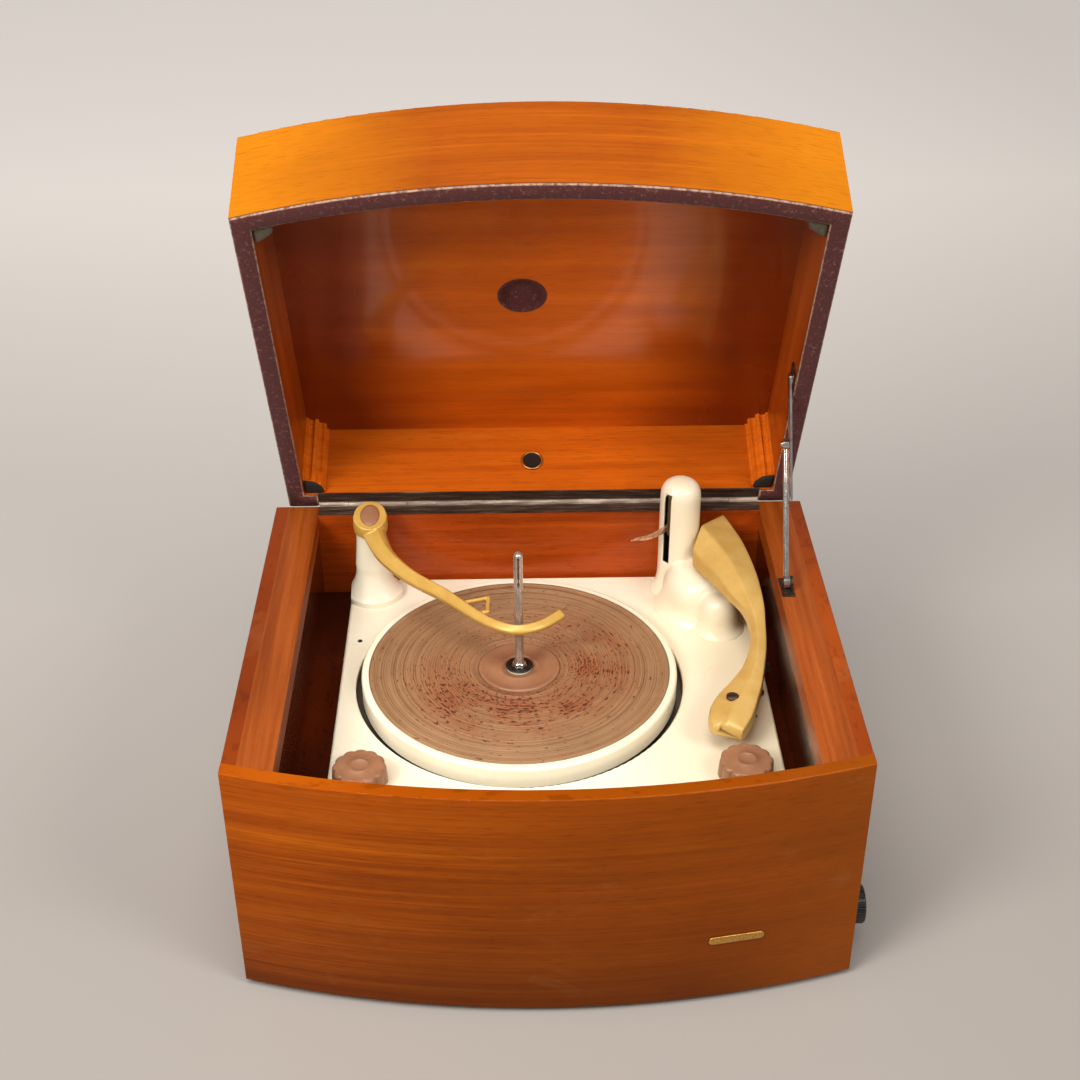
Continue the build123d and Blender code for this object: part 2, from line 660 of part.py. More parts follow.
# Turntable and its bearing
def turntable():
    low = deck_z + platter_rise - platter_rim_height
    rim_top = deck_z + platter_rise
    disc = rod(platter_x, platter_y, low, rim_top, platter_radius)
    disc = fillet(disc.faces().sort_by(Axis.Z)[-1].edges(), 2.4)
    disc -= rod(platter_x, platter_y, platter_top, rim_top + 1, mat_radius + clear)
    disc -= rod(platter_x, platter_y, low - 1, platter_top - platter_sheet, rim_inner)
    hub_low = well_floor + 6.8
    disc += rod(platter_x, platter_y, hub_low, platter_top + mat_thick + 0.6, hub_radius)
    disc -= rod(platter_x, platter_y, low - 10, rim_top + 10, bearing_radius + running)
    save("platter", disc)

    mat = rod(platter_x, platter_y, platter_top, platter_top + mat_thick, mat_radius)
    mat -= rod(platter_x, platter_y, platter_top - 1, rim_top + 5, hub_disc_radius + clear)
    first = hub_disc_radius + 8.0
    pitch = (mat_radius - 4.0 - first) / mat_ridges
    top = platter_top + mat_thick
    for k in range(mat_ridges):
        ring = rod(platter_x, platter_y, top - mat_groove, top + 1, first + (k + 1) * pitch - 1.6)
        ring -= rod(platter_x, platter_y, top - mat_groove - 1, top + 2, first + k * pitch + 1.6)
        mat -= ring
    save("platter_mat", mat)

    label = rod(platter_x, platter_y, platter_top, platter_top + hub_disc_thick, hub_disc_radius)
    label = fillet(label.faces().sort_by(Axis.Z)[-1].edges(), 0.8)
    save("hub_disc", label - rod(platter_x, platter_y, platter_top - 1, platter_top + 9, hub_radius + running))

    post = rod(platter_x, platter_y, well_floor - 14, platter_top + mat_thick + 2.2, bearing_radius)
    post += rod(platter_x, platter_y, well_floor, well_floor + 2, bearing_flange_radius)
    post += rod(platter_x, platter_y, well_floor + 2, hub_low - clear, hub_radius)
    post -= rod(platter_x, platter_y, well_floor - 20, platter_top + 30, spindle_radius)
    save("platter_bearing", post)

    top = deck_z + spindle_rise
    pin = rod(platter_x, platter_y, well_floor - 20, top, spindle_radius)
    pin = fillet(pin.faces().sort_by(Axis.Z)[-1].edges(), 2.4)
    cheek = block(-spindle_radius - 1, spindle_radius + 1, spindle_radius - 1.2, spindle_radius + 1,
                  -spindle_blade_length, 5)
    groove = block(-spindle_slot / 2, spindle_slot / 2, -spindle_radius - 1, spindle_radius + 1,
                   -spindle_blade_length, -3)
    pin -= Pos(platter_x, platter_y, top) * cheek
    pin -= Pos(platter_x, platter_y, top) * groove
    latch_z = top - spindle_blade_length + 6
    pin -= bar_x(platter_x - 5, platter_x + 5, platter_y, latch_z, 0.6 + running)
    save("spindle", pin)

    latch = block(-latch_thick / 2, latch_thick / 2, -spindle_radius + 0.3, spindle_radius - 1.7,
                  -4, spindle_blade_length - 11)
    latch += bar_x(-spindle_radius + 0.7, spindle_radius - 0.7, 0, 0, 0.6)
    save("spindle_latch", Pos(platter_x, platter_y, latch_z) * latch)


# Motor, stepped pulley and rubber idler
def drive():
    idler, pulley, guide = drive_points()
    level = well_floor + idler_level
    wheel = rod(idler[0], idler[1], level, level + idler_thick, idler_radius)
    wheel += rod(idler[0], idler[1], level - 0.8, level + idler_thick + 1, 6)
    wheel -= rod(idler[0], idler[1], level - 5, level + 20, 2 + running)
    save("idler_wheel", wheel)

    plate_low = flange_z - 16
    carrier = block(-6, 6, -6, carrier_reach + 6, 0, carrier_thick)
    carrier = fillet(carrier.edges().filter_by(Axis.Z), 5)
    carrier = Pos(idler[0], idler[1], plate_low) * carrier
    carrier += rod(idler[0], idler[1], plate_low, level + idler_thick + 1.6, 2)
    carrier += rod(idler[0], idler[1], plate_low, level - 1.1, 3.5)
    carrier += rod(guide[0], guide[1], plate_low, plate_low + 6, 5.5)
    carrier -= rod(guide[0], guide[1], plate_low - 1, plate_low + 10, guide_radius + running)
    save("idler_carrier", carrier)

    top = deck_z - motor_drop
    low = top - motor_height
    shaft_radius = 2.0
    x, y = pulley
    case = rod(x, y, low, top, motor_radius)
    case = fillet(case.faces().sort_by(Axis.Z)[0].edges(), 5)
    case -= rod(x, y, low + 3, top - 3, motor_radius - 12)
    case += rod(x, y, top - 3, top + 4, 9)
    case -= rod(x, y, low - 1, top + 10, shaft_radius + running)
    for k in range(8):
        a = math.radians(45 * k + 10)
        case -= rod(x + 27.5 * math.cos(a), y + 27.5 * math.sin(a), low - 1, low + 4, 2.5)
    for angle in motor_posts:
        a = math.radians(angle)
        post_x = x + (motor_radius - 4) * math.cos(a)
        post_y = y + (motor_radius - 4) * math.sin(a)
        case += rod(post_x, post_y, top - 2, well_floor - deck_sheet, motor_post_radius)
    save("motor_body", case)

    rotor = rod(x, y, low + 5, top - 5, motor_radius - 14)
    rotor += rod(x, y, low + 1, level, shaft_radius)
    z = level - 0.6
    for radius in speed_steps:
        rotor += rod(x, y, z, z + step_height, radius)
        z += step_height
    rotor += rod(x, y, top + 4.3, level - 0.6, 3.5)
    save("motor_pulley", rotor)


# Knobs
def lobed_knob(at, z):
    knob = Cylinder(knob_radius, knob_height)
    pitch = 360 / knob_lobes
    for k in range(knob_lobes):
        a = math.radians(k * pitch)
        reach = knob_radius + knob_scallop - 1.6
        knob -= Pos(reach * math.cos(a), reach * math.sin(a), 0) * Cylinder(knob_scallop, knob_height + 2)
    top = knob.faces().sort_by(Axis.Z)[-1]
    knob = fillet(top.edges(), 1.0)
    knob += Pos(0, 0, knob_height / 2) * (Cylinder(11, 1.2) - Cylinder(9.6, 3))
    knob = Pos(at[0], at[1], z + knob_height / 2) * knob
    return knob + rod(at[0], at[1], z - 16, z + 2, knob_shaft_radius)


def knobs():
    save("speed_knob", lobed_knob(speed_knob_at, deck_z + 1))
    save("start_knob", lobed_knob(start_knob_at, deck_z + 1))
    pots = []
    for name, y in zip(("volume_knob", "tone_knob"), side_knob_y):
        x = half_width + 1
        knob = bar_x(x, x + side_knob_length, y, side_knob_z, side_knob_radius)
        knob = fillet(knob.faces().sort_by(Axis.X)[-1].edges(), 2)
        for k in range(24):
            a = math.radians(15 * k)
            knob -= bar_x(x + 2, x + side_knob_length + 1, y + side_knob_radius * math.cos(a),
                          side_knob_z + side_knob_radius * math.sin(a), 0.8)
        knob += bar_x(inner_x - pot_depth + 3, x + 3, y, side_knob_z, knob_shaft_radius)
        save(name, knob)
        pot = bar_x(inner_x - pot_depth, inner_x, y, side_knob_z, pot_radius)
        pots.append(pot - bar_x(inner_x - pot_depth + 2.5, inner_x + 1, y, side_knob_z,
                                knob_shaft_radius + running))
    save("control_pots", *pots)


# Tone arm
def shell_section(k, inset):
    points = [(x, y, 0.0) for x, y, _, _, _, _ in tonearm_route]
    d = route_direction(points, k)
    across = Vector(-d.Y, d.X, 0)
    x, y, width, low, high, ridge = tonearm_route[k]
    if k == len(tonearm_route) - 1:
        # The cavity stops one wall short of the nose.
        x -= d.X * inset
        y -= d.Y * inset
    w = max(width - 2 * inset, 1.2)
    rise = high - low
    corners = ((-0.50, 0.0), (-0.46, 0.55), (ridge, 1.0), (0.44, 0.76), (0.50, 0.0))
    outline = []
    for side, up in corners:
        level = low + up * rise - (inset if up > 0 else 2 * inset)
        if inset and up == 0:
            level = low - 1
        p = Vector(x, y, deck_z) - across * (side * w)
        outline.append((p.X, p.Y, deck_z + level))
    return make_face(Polyline(outline, close=True))


def tonearm():
    count = len(tonearm_route)
    outer = loft([shell_section(k, 0) for k in range(count)], ruled=True)
    inner = loft([shell_section(k, tonearm_shell) for k in range(1, count)], ruled=True)
    px, py = tonearm_at
    pin_z = deck_z + gimbal_pin_height
    shell = outer - inner
    lugs = block(gimbal_half_width + clear, 40, -4, 4, -5, 20)
    lugs += block(-40, -gimbal_half_width - clear, -4, 4, -5, 20)
    shell += (Pos(px, py, pin_z) * lugs) & outer
    pin = Pos(px, py, pin_z) * Rot(0, 90, 0) * Cylinder(1.5 + running, 2 * gimbal_half_width + 8)
    shell -= pin
    cx, cy = cartridge_at
    heading = math.degrees(math.atan2(tonearm_route[-1][1] - tonearm_route[-3][1],
                                      tonearm_route[-1][0] - tonearm_route[-3][0]))
    place = Pos(cx, cy, deck_z) * Rot(0, 0, heading + 90)
    length, depth, height = cartridge_size[1], cartridge_size[0], cartridge_size[2]
    seat = cartridge_base + height
    boss = place * block(-depth / 2, depth / 2, -6, 6, seat, seat + 20)
    shell += boss & outer
    save("tonearm_shell", shell)

    base = deck_z + boss_height + clear
    gimbal = rod(px, py, base - gimbal_shaft_length, base, gimbal_shaft_radius)
    gimbal += rod(px, py, base, base + 2.2, gimbal_half_width)
    for sign in (-1, 1):
        gimbal += block(px + sign * (gimbal_half_width - 2), px + sign * gimbal_half_width,
                        py - gimbal_upright_half, py + gimbal_upright_half, base, pin_z + 2.5)
    pin = Pos(px, py, pin_z) * Rot(0, 90, 0) * Cylinder(1.5, 2 * gimbal_half_width + 7)
    save("tonearm_gimbal", gimbal + pin)

    body = block(-depth / 2, depth / 2, -length / 2, length / 2, cartridge_base, seat)
    for y0 in (-9.6, 7.6):
        body += block(-2, 2, y0, y0 + 2, stylus_axis_height - 1.4, cartridge_base + 1)
    bore = Rot(90, 0, 0) * Cylinder(0.7 + running, length)
    body -= Pos(0, 0, stylus_axis_height) * bore
    save("cartridge", place * body)

    bar = Rot(90, 0, 0) * Cylinder(0.7, 19)
    bar += Box(2.2, 13, 1.6)
    bar += Pos(0, -4, -stylus_reach / 2) * Cylinder(0.45, stylus_reach)
    save("stylus_bar", place * Pos(0, 0, stylus_axis_height) * bar)
    return heading


# Speakers behind the grilles in the two sides
def speakers():
    def placed(piece):
        # Drawn facing +z with the long axis on y, then turned to face +x.
        return Pos(inner_x - cloth_thick, speaker_y, speaker_z) * Rot(0, 90, 0) * piece

    cloth = extrude(RectangleRounded(grille_height + 12, grille_length + 14, grille_corner), cloth_thick)
    save("grille_cloths", *both_sides(Pos(inner_x - cloth_thick, speaker_y, speaker_z)
                                      * Rot(0, 90, 0) * cloth))
    a = speaker_short / 2
    b = speaker_long / 2

    def oval(across, along, z):
        return Pos(0, 0, z) * Ellipse(across, along)

    flange = extrude(oval(a, b, -speaker_flange), speaker_flange)
    flange -= extrude(oval(a - 7, b - 9, -speaker_flange - 1), speaker_flange + 2)
    rear = rod(0, 0, -speaker_depth - 1, -speaker_depth + 2.5, magnet_radius)
    frame = flange + rear
    # Four sloping legs join the flange to the rear plate.
    for reach, turn in ((a, 0), (a, 180), (b, 90), (b, 270)):
        leg = Polyline((magnet_radius - 3, 0, -speaker_depth), (magnet_radius + 1, 0, -speaker_depth),
                       (reach - 1.5, 0, -speaker_flange), (reach - 5.5, 0, -speaker_flange), close=True)
        frame += Rot(0, 0, turn) * extrude(make_face(leg), 8, both=True)
    frame -= rod(0, 0, -speaker_depth - 5, -speaker_depth + 5, 9)

    cone = loft([oval(a - 8, b - 10, 0), oval(10, 10, -speaker_depth + 10)])
    cone -= loft([oval(a - 9, b - 11, 0), oval(9, 9, -speaker_depth + 10)])
    cone += extrude(oval(a - 7 - clear, b - 9 - clear, -0.6), 0.6) - extrude(oval(a - 8.5, b - 10.5, -2), 4)
    cone += rod(0, 0, -speaker_depth + 8.5, -speaker_depth + 10.6, 9.5)
    cone += rod(0, 0, -speaker_depth - 2, -speaker_depth + 9, 8)
    save("speaker_cones", *both_sides(placed(cone)))

    magnet = rod(0, 0, -speaker_depth - 1 - magnet_depth, -speaker_depth - 1, magnet_radius)
    magnet -= rod(0, 0, -speaker_depth - 5, -speaker_depth, 9)
    save("speaker_frames", *both_sides(placed(frame)), *both_sides(placed(magnet)))


# Amplifier on the bottom board
def amplifier():
    y1 = back_y - back_cover_thick - chassis_back_gap
    y0 = y1 - chassis_depth
    x0 = chassis_x - chassis_length / 2
    x1 = x0 + chassis_length
    top = bottom_top + chassis_height
    tray = block(x0, x1, y0, y1, bottom_top, top)
    tray -= block(x0 + chassis_sheet, x1 - chassis_sheet, y0 + chassis_sheet, y1 - chassis_sheet,
                  bottom_top - 1, top - chassis_sheet)
    save("amplifier_chassis", tray)

    valves = []
    for k in range(valve_count):
        x = x0 + 66 + k * valve_spacing
        y = y0 + 22
        glass = rod(x, y, top, top + valve_height, valve_radius)
        glass = fillet(glass.faces().sort_by(Axis.Z)[-1].edges(), valve_radius - 2)
        glass += rod(x, y, top + valve_height - 1, top + valve_height + 3, 2)
        glass += rod(x, y, top, top + 6, valve_radius + 2)
        valves.append(glass)
    save("amplifier_valves", *valves)

    mains = block(x0 + 4, x0 + 52, y0 + 8, y0 + 62, top, top + 14)
    mains += block(x0 + 8, x0 + 48, y0 + 4, y0 + 66, top + 14, top + 40)
    mains += block(x0 + 4, x0 + 52, y0 + 8, y0 + 62, top + 40, top + 52)
    output = block(x1 - 44, x1 - 8, y1 - 40, y1 - 8, top, top + 32)
    output += block(x1 - 38, x1 - 14, y1 - 46, y1 - 2, top + 8, top + 24)
    save("transformers", mains, output)

    can_x = x0 + 80
    can = rod(can_x, y1 - 24, top, top + 52, 15)
    can = fillet(can.faces().sort_by(Axis.Z)[-1].edges(), 2)
    save("smoothing_capacitor", can)

    inlet = block(130.3, 165.7, back_y - 8, back_y + 1.2, bottom_top + 10.3, bottom_top + 33.7)
    inlet += block(126, 170, back_y, back_y + 1.2, bottom_top + 7, bottom_top + 37)
    inlet -= block(134, 162, back_y - 5, back_y + 2, bottom_top + 14, bottom_top + 30)
    for x in (142, 154):
        inlet += Pos(x, back_y - 3, bottom_top + 22) * Rot(90, 0, 0) * Cylinder(1.6, 5)
    save("mains_inlet", inlet)


os.makedirs("parts", exist_ok=True)
cabinet()
lid()
hinge()
stay_slope = stay()
deck()
overarm_post()
overarm()
pedestal()
turntable()
drive()
knobs()
stylus_heading = tonearm()
speakers()
amplifier()
print("stay slope", round(stay_slope, 3), "stylus heading", round(stylus_heading, 3))
print("drive points", drive_points())
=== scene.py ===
import math

import bmesh
import bpy
from mathutils import Euler, Matrix, Vector


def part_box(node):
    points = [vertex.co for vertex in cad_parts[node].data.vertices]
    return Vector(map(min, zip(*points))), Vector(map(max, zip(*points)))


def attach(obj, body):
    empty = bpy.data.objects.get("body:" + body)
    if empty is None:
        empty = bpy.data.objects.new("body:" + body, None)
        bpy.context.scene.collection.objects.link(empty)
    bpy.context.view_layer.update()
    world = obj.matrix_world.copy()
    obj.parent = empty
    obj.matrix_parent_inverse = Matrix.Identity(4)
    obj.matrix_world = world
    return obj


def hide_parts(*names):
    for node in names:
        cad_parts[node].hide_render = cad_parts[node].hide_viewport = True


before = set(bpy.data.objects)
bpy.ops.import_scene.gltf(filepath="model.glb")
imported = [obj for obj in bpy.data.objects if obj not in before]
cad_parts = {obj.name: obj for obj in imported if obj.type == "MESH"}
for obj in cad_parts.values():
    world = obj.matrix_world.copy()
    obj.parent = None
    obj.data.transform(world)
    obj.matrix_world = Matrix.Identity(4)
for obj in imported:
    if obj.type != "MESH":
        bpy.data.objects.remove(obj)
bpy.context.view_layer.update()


# Floor, light and camera: a pale warm-grey sheet with painted light and shade, two soft
# lamps in front and one overhead, and the camera a little above the open lid, looking down at the deck.
FLOOR_HALF = 7.0
FLOOR_FALLOFF_TINTS = ((0.0, (164, 157, 151)), (0.5, (186, 179, 173)), (1.0, (196, 189, 183)))
FLOOR_GLOW = 0.84
FLOOR_FAR_GLOW = 0.75
LAMPS = (
    ("lamp_left", (-1.05, -1.10, 1.50), 0.80, 27.0),
    ("lamp_right", (1.20, -1.05, 1.45), 0.80, 15.5),
    ("lamp_top", (-0.20, -0.60, 1.95), 1.20, 20.5),
)
LAMPS_AIM = Vector((0, 0, 0.2))
WORLD_GREY = 0.26
BACKDROP_GREY = 0.62
CAMERA_AT = (-0.0212, -1.0550, 0.95395)
CAMERA_DOWN = 0.5672
CAMERA_RIGHT = 0.0179
CAMERA_ROLL = -0.0030
CAMERA_LENS = 55.26


def colour(red, green, blue):
    """Scene colour of a paint chip given as 0 to 255 screen values."""
    chip = [v / 255 for v in (red, green, blue)]
    return tuple(v / 12.92 if v < 0.04045 else ((v + 0.055) / 1.055) ** 2.4 for v in chip) + (1.0,)


def add(tree, kind, inputs=None, **settings):
    """Add a node, set its own settings, and fill or link its inputs."""
    made = tree.nodes.new(kind)
    for key, value in settings.items():
        setattr(made, key, value)
    for key, value in (inputs or {}).items():
        if isinstance(value, bpy.types.NodeSocket):
            tree.links.new(value, made.inputs[key])
        else:
            made.inputs[key].default_value = value
    return made


def finish(name, **settings):
    """New material with the shader's own sockets set; returns it, its tree and shader."""
    material = bpy.data.materials.new(name)
    material.use_nodes = True
    tree = material.node_tree
    shader = tree.nodes["Principled BSDF"]
    for key, value in settings.items():
        shader.inputs[key.replace("_", " ")].default_value = value
    return material, tree, shader


def wire(tree, shader, **links):
    """Link results to the shader's sockets, named with _ for a space."""
    for key, value in links.items():
        tree.links.new(value, shader.inputs[key.replace("_", " ")])


def ramp(tree, amount, *stops):
    """Colour ramp through (place, paint chip) stops."""
    made = add(tree, "ShaderNodeValToRGB", {"Fac": amount})
    bands = made.color_ramp.elements
    while len(bands) < len(stops):
        bands.new(0.5)
    for band, (place, chip) in zip(bands, stops):
        band.position = place
        band.color = colour(*chip)
    return made.outputs["Color"]


def maths(tree, operation, *values, clamp=False):
    """One Math node; returns its result."""
    made = add(tree, "ShaderNodeMath", dict(enumerate(values)), operation=operation, use_clamp=clamp)
    return made.outputs[0]


def times(tree, first, *others):
    """Product of two or more values."""
    for value in others:
        first = maths(tree, "MULTIPLY", first, value)
    return first


def minus(tree, first, second):
    """Difference of two values."""
    return maths(tree, "SUBTRACT", first, second)


def spread(tree, value, low, high, to_low=0.0, to_high=1.0):
    """One Map Range node, clamped; returns its result."""
    ends = {"Value": value, "From Min": low, "From Max": high, "To Min": to_low, "To Max": to_high}
    return add(tree, "ShaderNodeMapRange", ends).outputs[0]


def mixed(tree, amount, first, second, blend="MIX"):
    """Mix two colours; returns the result."""
    made = tree.nodes.new("ShaderNodeMix")
    made.data_type = "RGBA"
    made.blend_type = blend
    for index, value in ((0, amount), (6, first), (7, second)):
        if isinstance(value, bpy.types.NodeSocket):
            tree.links.new(value, made.inputs[index])
        else:
            made.inputs[index].default_value = value
    return made.outputs[2]


def objects_place(tree, centre=(0, 0, 0), turn=(0, 0, 0), size=(1, 1, 1)):
    """Object coordinates measured from a centre, turned, and counted in given sizes."""
    place = add(tree, "ShaderNodeTexCoord").outputs["Object"]
    return add(tree, "ShaderNodeMapping", {"Vector": place, "Location": centre, "Rotation": turn,
                                           "Scale": size}, vector_type="TEXTURE").outputs[0]


def axes(tree, where):
    """The three coordinates of a place, one by one."""
    return add(tree, "ShaderNodeSeparateXYZ", {0: where}).outputs


def noise(tree, where, scale=1.0, detail=3.0, rough=0.5, warp=0.0):
    """Grey noise at a place."""
    made = add(tree, "ShaderNodeTexNoise", {"Vector": where, "Scale": scale, "Detail": detail,
                                            "Roughness": rough, "Distortion": warp})
    return made.outputs[0]


def bump(tree, shader, height, depth, strength):
    """Raise the surface by a height field."""
    made = add(tree, "ShaderNodeBump", {"Height": height, "Distance": depth, "Strength": strength})
    wire(tree, shader, Normal=made.outputs[0])


def new_object(name, data):
    """Put a mesh, lamp or camera in the scene as an object at the origin."""
    made = bpy.data.objects.new(name, data)
    bpy.context.scene.collection.objects.link(made)
    return made


def new_piece(name, points, faces, material=None, smooth=True, recalc=True):
    """Mesh object at the origin with its place in its mesh."""
    mesh = bpy.data.meshes.new(name)
    mesh.from_pydata([tuple(p) for p in points], [], faces)
    if recalc:
        work = bmesh.new()
        work.from_mesh(mesh)
        bmesh.ops.remove_doubles(work, verts=work.verts, dist=1e-6)
        bmesh.ops.recalc_face_normals(work, faces=work.faces)
        work.to_mesh(mesh)
        work.free()
    mesh.polygons.foreach_set("use_smooth", [smooth] * len(mesh.polygons))
    if material:
        mesh.materials.append(material)
    return new_object(name, mesh)


def seen_rays(tree):
    """1 where the camera sees a surface, straight on or in metal and glass."""
    rays = add(tree, "ShaderNodeLightPath").outputs
    mirrored = maths(tree, "ADD", rays["Is Glossy Ray"], rays["Is Transmission Ray"], clamp=True)
    return maths(tree, "ADD", rays["Is Camera Ray"], mirrored, clamp=True)


paper, tree, shader = finish("floor_paper", Roughness=0.6)
where = objects_place(tree)
x, y, _ = axes(tree, where)
# Painted light and shade: darker towards the front, lighter far back, darker on the right as a painted shadow
# of the cabinet, and glowing for the camera further back.
shaded_tint = ramp(tree, spread(tree, y, -0.3, 1.3), *FLOOR_FALLOFF_TINTS)
shaded_tint = mixed(tree, spread(tree, x, 0.2, 1.0, 0.0, 0.30), shaded_tint, colour(150, 142, 134))
away = add(tree, "ShaderNodeVectorMath", {0: where}, operation="LENGTH").outputs["Value"]
glow = maths(tree, "MAXIMUM", spread(tree, y, -0.08, 1.5, 0.0, FLOOR_GLOW),
             spread(tree, away, 1.0, 3.2, 0.0, FLOOR_FAR_GLOW))
wire(tree, shader, Base_Color=shaded_tint, Emission_Color=shaded_tint, Emission_Strength=times(tree, seen_rays(tree), glow))
bump(tree, shader, noise(tree, where, 900, 2), 0.0001, 0.3)
corners = [(x * FLOOR_HALF, y * FLOOR_HALF, 0) for x, y in ((-1, -1), (1, -1), (1, 1), (-1, 1))]
new_piece("floor", corners, [(0, 1, 2, 3)], paper, smooth=False, recalc=False)

for name, at, size, power in LAMPS:
    lamp = bpy.data.lights.new(name, "AREA")
    lamp.shape = "DISK"
    lamp.size = size
    lamp.energy = power
    lamp.color = (1.0, 0.975, 0.935)
    holder = new_object(name, lamp)
    holder.location = at
    holder.rotation_euler = (LAMPS_AIM - Vector(at)).to_track_quat("-Z", "Y").to_euler()

world = bpy.data.worlds.new("studio")
world.use_nodes = True
tree = world.node_tree
backdrop = tree.nodes["Background"]
backdrop.inputs["Color"].default_value = (1.0, 0.975, 0.95, 1)
by_camera = add(tree, "ShaderNodeLightPath").outputs["Is Camera Ray"]
wire(tree, backdrop, Strength=spread(tree, by_camera, 0.0, 1.0, WORLD_GREY, BACKDROP_GREY))
bpy.context.scene.world = world
bpy.context.scene.view_settings.view_transform = "Standard"

camera = new_object("camera", bpy.data.cameras.new("camera"))
camera.data.sensor_width = 36.0
camera.data.lens = CAMERA_LENS
camera.data.dof.use_dof = False
aim = Euler((math.pi / 2 - CAMERA_DOWN, 0, -CAMERA_RIGHT)).to_matrix() @ Matrix.Rotation(CAMERA_ROLL, 3, "Z")
camera.matrix_world = Matrix.Translation(CAMERA_AT) @ aim.to_4x4()
bpy.context.scene.camera = camera


# Cabinet walls: straight-grained mahogany veneer, french polished, with fine
# streaks along the boards, cloudy patches, dulled spots and a few pale nicks.
QUARTER = (0, 0, math.pi / 2)


def polished_wood(name, shades, grain, centre=(0, 0, 0), turn=(0, 0, 0), rough=0.30, coat=0.14,
                  shine=0.16, patch=0.16, nicks=0.0, haze=0.0, light_fades=()):
    """Veneer in three shades, dark to pale; grain is how long, deep and wide its streaks are.

    A light fade paints light or shade into the wood: it turns the wood to a tone from one place
    to another along an axis, by a strength, and only under a height of the board if it gives one."""
    material, tree, shader = finish(name, Coat_Weight=coat, Coat_Roughness=0.09, Specular_IOR_Level=shine)

    def on_board(*size):
        return objects_place(tree, centre, turn, size)

    ribbon = noise(tree, on_board(*grain), 1.0, 4.0, 0.62, 0.4)
    hair = noise(tree, on_board(grain[0] * 0.45, grain[1] * 0.4, grain[2] * 0.22), 1.0, 3.0, 0.6, 0.1)
    grainy = maths(tree, "ADD", times(tree, ribbon, 0.6), times(tree, hair, 0.4))
    shade = ramp(tree, grainy, *zip((0.30, 0.50, 0.70), shades))
    # Painted light and shade: each fade paints the wood lighter or darker along an axis.
    for axis, tone, low, high, strength, *below in light_fades:
        along = axes(tree, objects_place(tree))["XYZ".index(axis[0])]
        if axis.endswith("mirrored"):
            along = maths(tree, "ABSOLUTE", along)
        wander = minus(tree, noise(tree, objects_place(tree, size=(0.16, 0.16, 0.05)), 1.0, 3.0, 0.6), 0.5)
        drift = maths(tree, "ADD", along, times(tree, wander, abs(high - low) * 0.6))
        amount = spread(tree, drift, low, high, 0.0, strength)
        if below:
            height = axes(tree, on_board(1, 1, 1))[2]
            amount = times(tree, amount, spread(tree, height, below[0], below[0] + 0.001, 1.0, 0.0))
        shade = mixed(tree, amount, shade, colour(*tone))
    cloud = noise(tree, on_board(0.24, 0.16, 0.10), 1.0, 2.0, 0.5, 0.6)
    light = spread(tree, cloud, 0.3, 0.7, 1.0 - patch, 1.0 + patch)
    light = add(tree, "ShaderNodeCombineColor", {0: light, 1: light, 2: light}).outputs[0]
    shade = mixed(tree, 1.0, shade, light, "MULTIPLY")
    pores = on_board(grain[0] * 0.035, grain[1] * 0.02, grain[2] * 0.065)
    open_pore = spread(tree, noise(tree, pores, 1.0, 2.0, 0.5), 0.56, 0.66)
    pore_shade = tuple(v * 0.45 for v in colour(*shades[0])[:3]) + (1.0,)
    shade = mixed(tree, times(tree, open_pore, 0.30), shade, pore_shade)
    if haze:
        dull = noise(tree, on_board(0.06, 0.06, 0.035), 1.0, 5.0, 0.62, 0.8)
        shade = mixed(tree, spread(tree, dull, 0.60, 0.78, 0.0, haze), shade, colour(176, 128, 80))
    if nicks:
        chip = noise(tree, objects_place(tree, size=(0.005, 0.005, 0.005)), 1.0, 4.0, 0.7)
        chipped = spread(tree, chip, nicks, nicks + 0.02)
        shade = mixed(tree, times(tree, chipped, 0.55), shade, colour(214, 170, 118))
    worn = noise(tree, objects_place(tree, size=(0.09, 0.09, 0.09)))
    wire(tree, shader, Base_Color=shade, Roughness=spread(tree, worn, 0.0, 1.0, rough - 0.06, rough + 0.12))
    bump(tree, shader, minus(tree, hair, times(tree, open_pore, 0.6)), 0.00010, 0.30)
    return material


def dress(material, *nodes):
    """Give CAD nodes a material."""
    for name in nodes:
        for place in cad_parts[name].material_slots:
            place.material = material


# Painted light and shade on the bowed front: darker towards the middle, right and bottom, lighter towards the
# top and at the right end.
front_painted_light = (
    ("X", (116, 54, 4), -0.20, 0.04, 0.70),
    ("Z", (84, 36, 6), 0.105, 0.0, 0.72),
    ("Z", (180, 82, 8), 0.15, 0.225, 0.32),
    ("X", (150, 74, 8), 0.11, 0.22, 0.60),
)
front_veneer = polished_wood("front_veneer", ((112, 44, 2), (156, 70, 4), (192, 98, 10)),
                             (0.46, 0.44, 0.0100), coat=0.06, shine=0.05, patch=0.12, nicks=0.79, haze=0.12,
                             light_fades=front_painted_light)
side_veneer = polished_wood("side_veneer", ((112, 42, 3), (140, 56, 6), (164, 74, 12)), (0.4, 0.42, 0.0085),
                            turn=QUARTER, nicks=0.82, haze=0.25)
dress(front_veneer, "front_panel")
dress(side_veneer, "left_side_wall", "right_side_wall")


# Plain slim gilt bar low on the front: a pressed metal strip with rounded ends,
# a raised face and a softened rim, pinned flat to the bowed veneer.
BAR_AT = (0.136, 0.063)
BAR_SIZE = (0.042, 0.007, 0.0012)
BAR_RIM = ((0.0, 0.0), (0.0, 0.6), (0.0006, 0.95), (0.0016, 1.0))
BAR_STEPS = 48
BOW_RADIUS = 0.803
BOW_CENTRE = 0.5942


def settle(made, body, slot, *nodes):
    """The piece rides on a body and may stand for CAD nodes; its slot argument is not used."""
    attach(made, body)
    if nodes:
        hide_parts(*nodes)
    return made


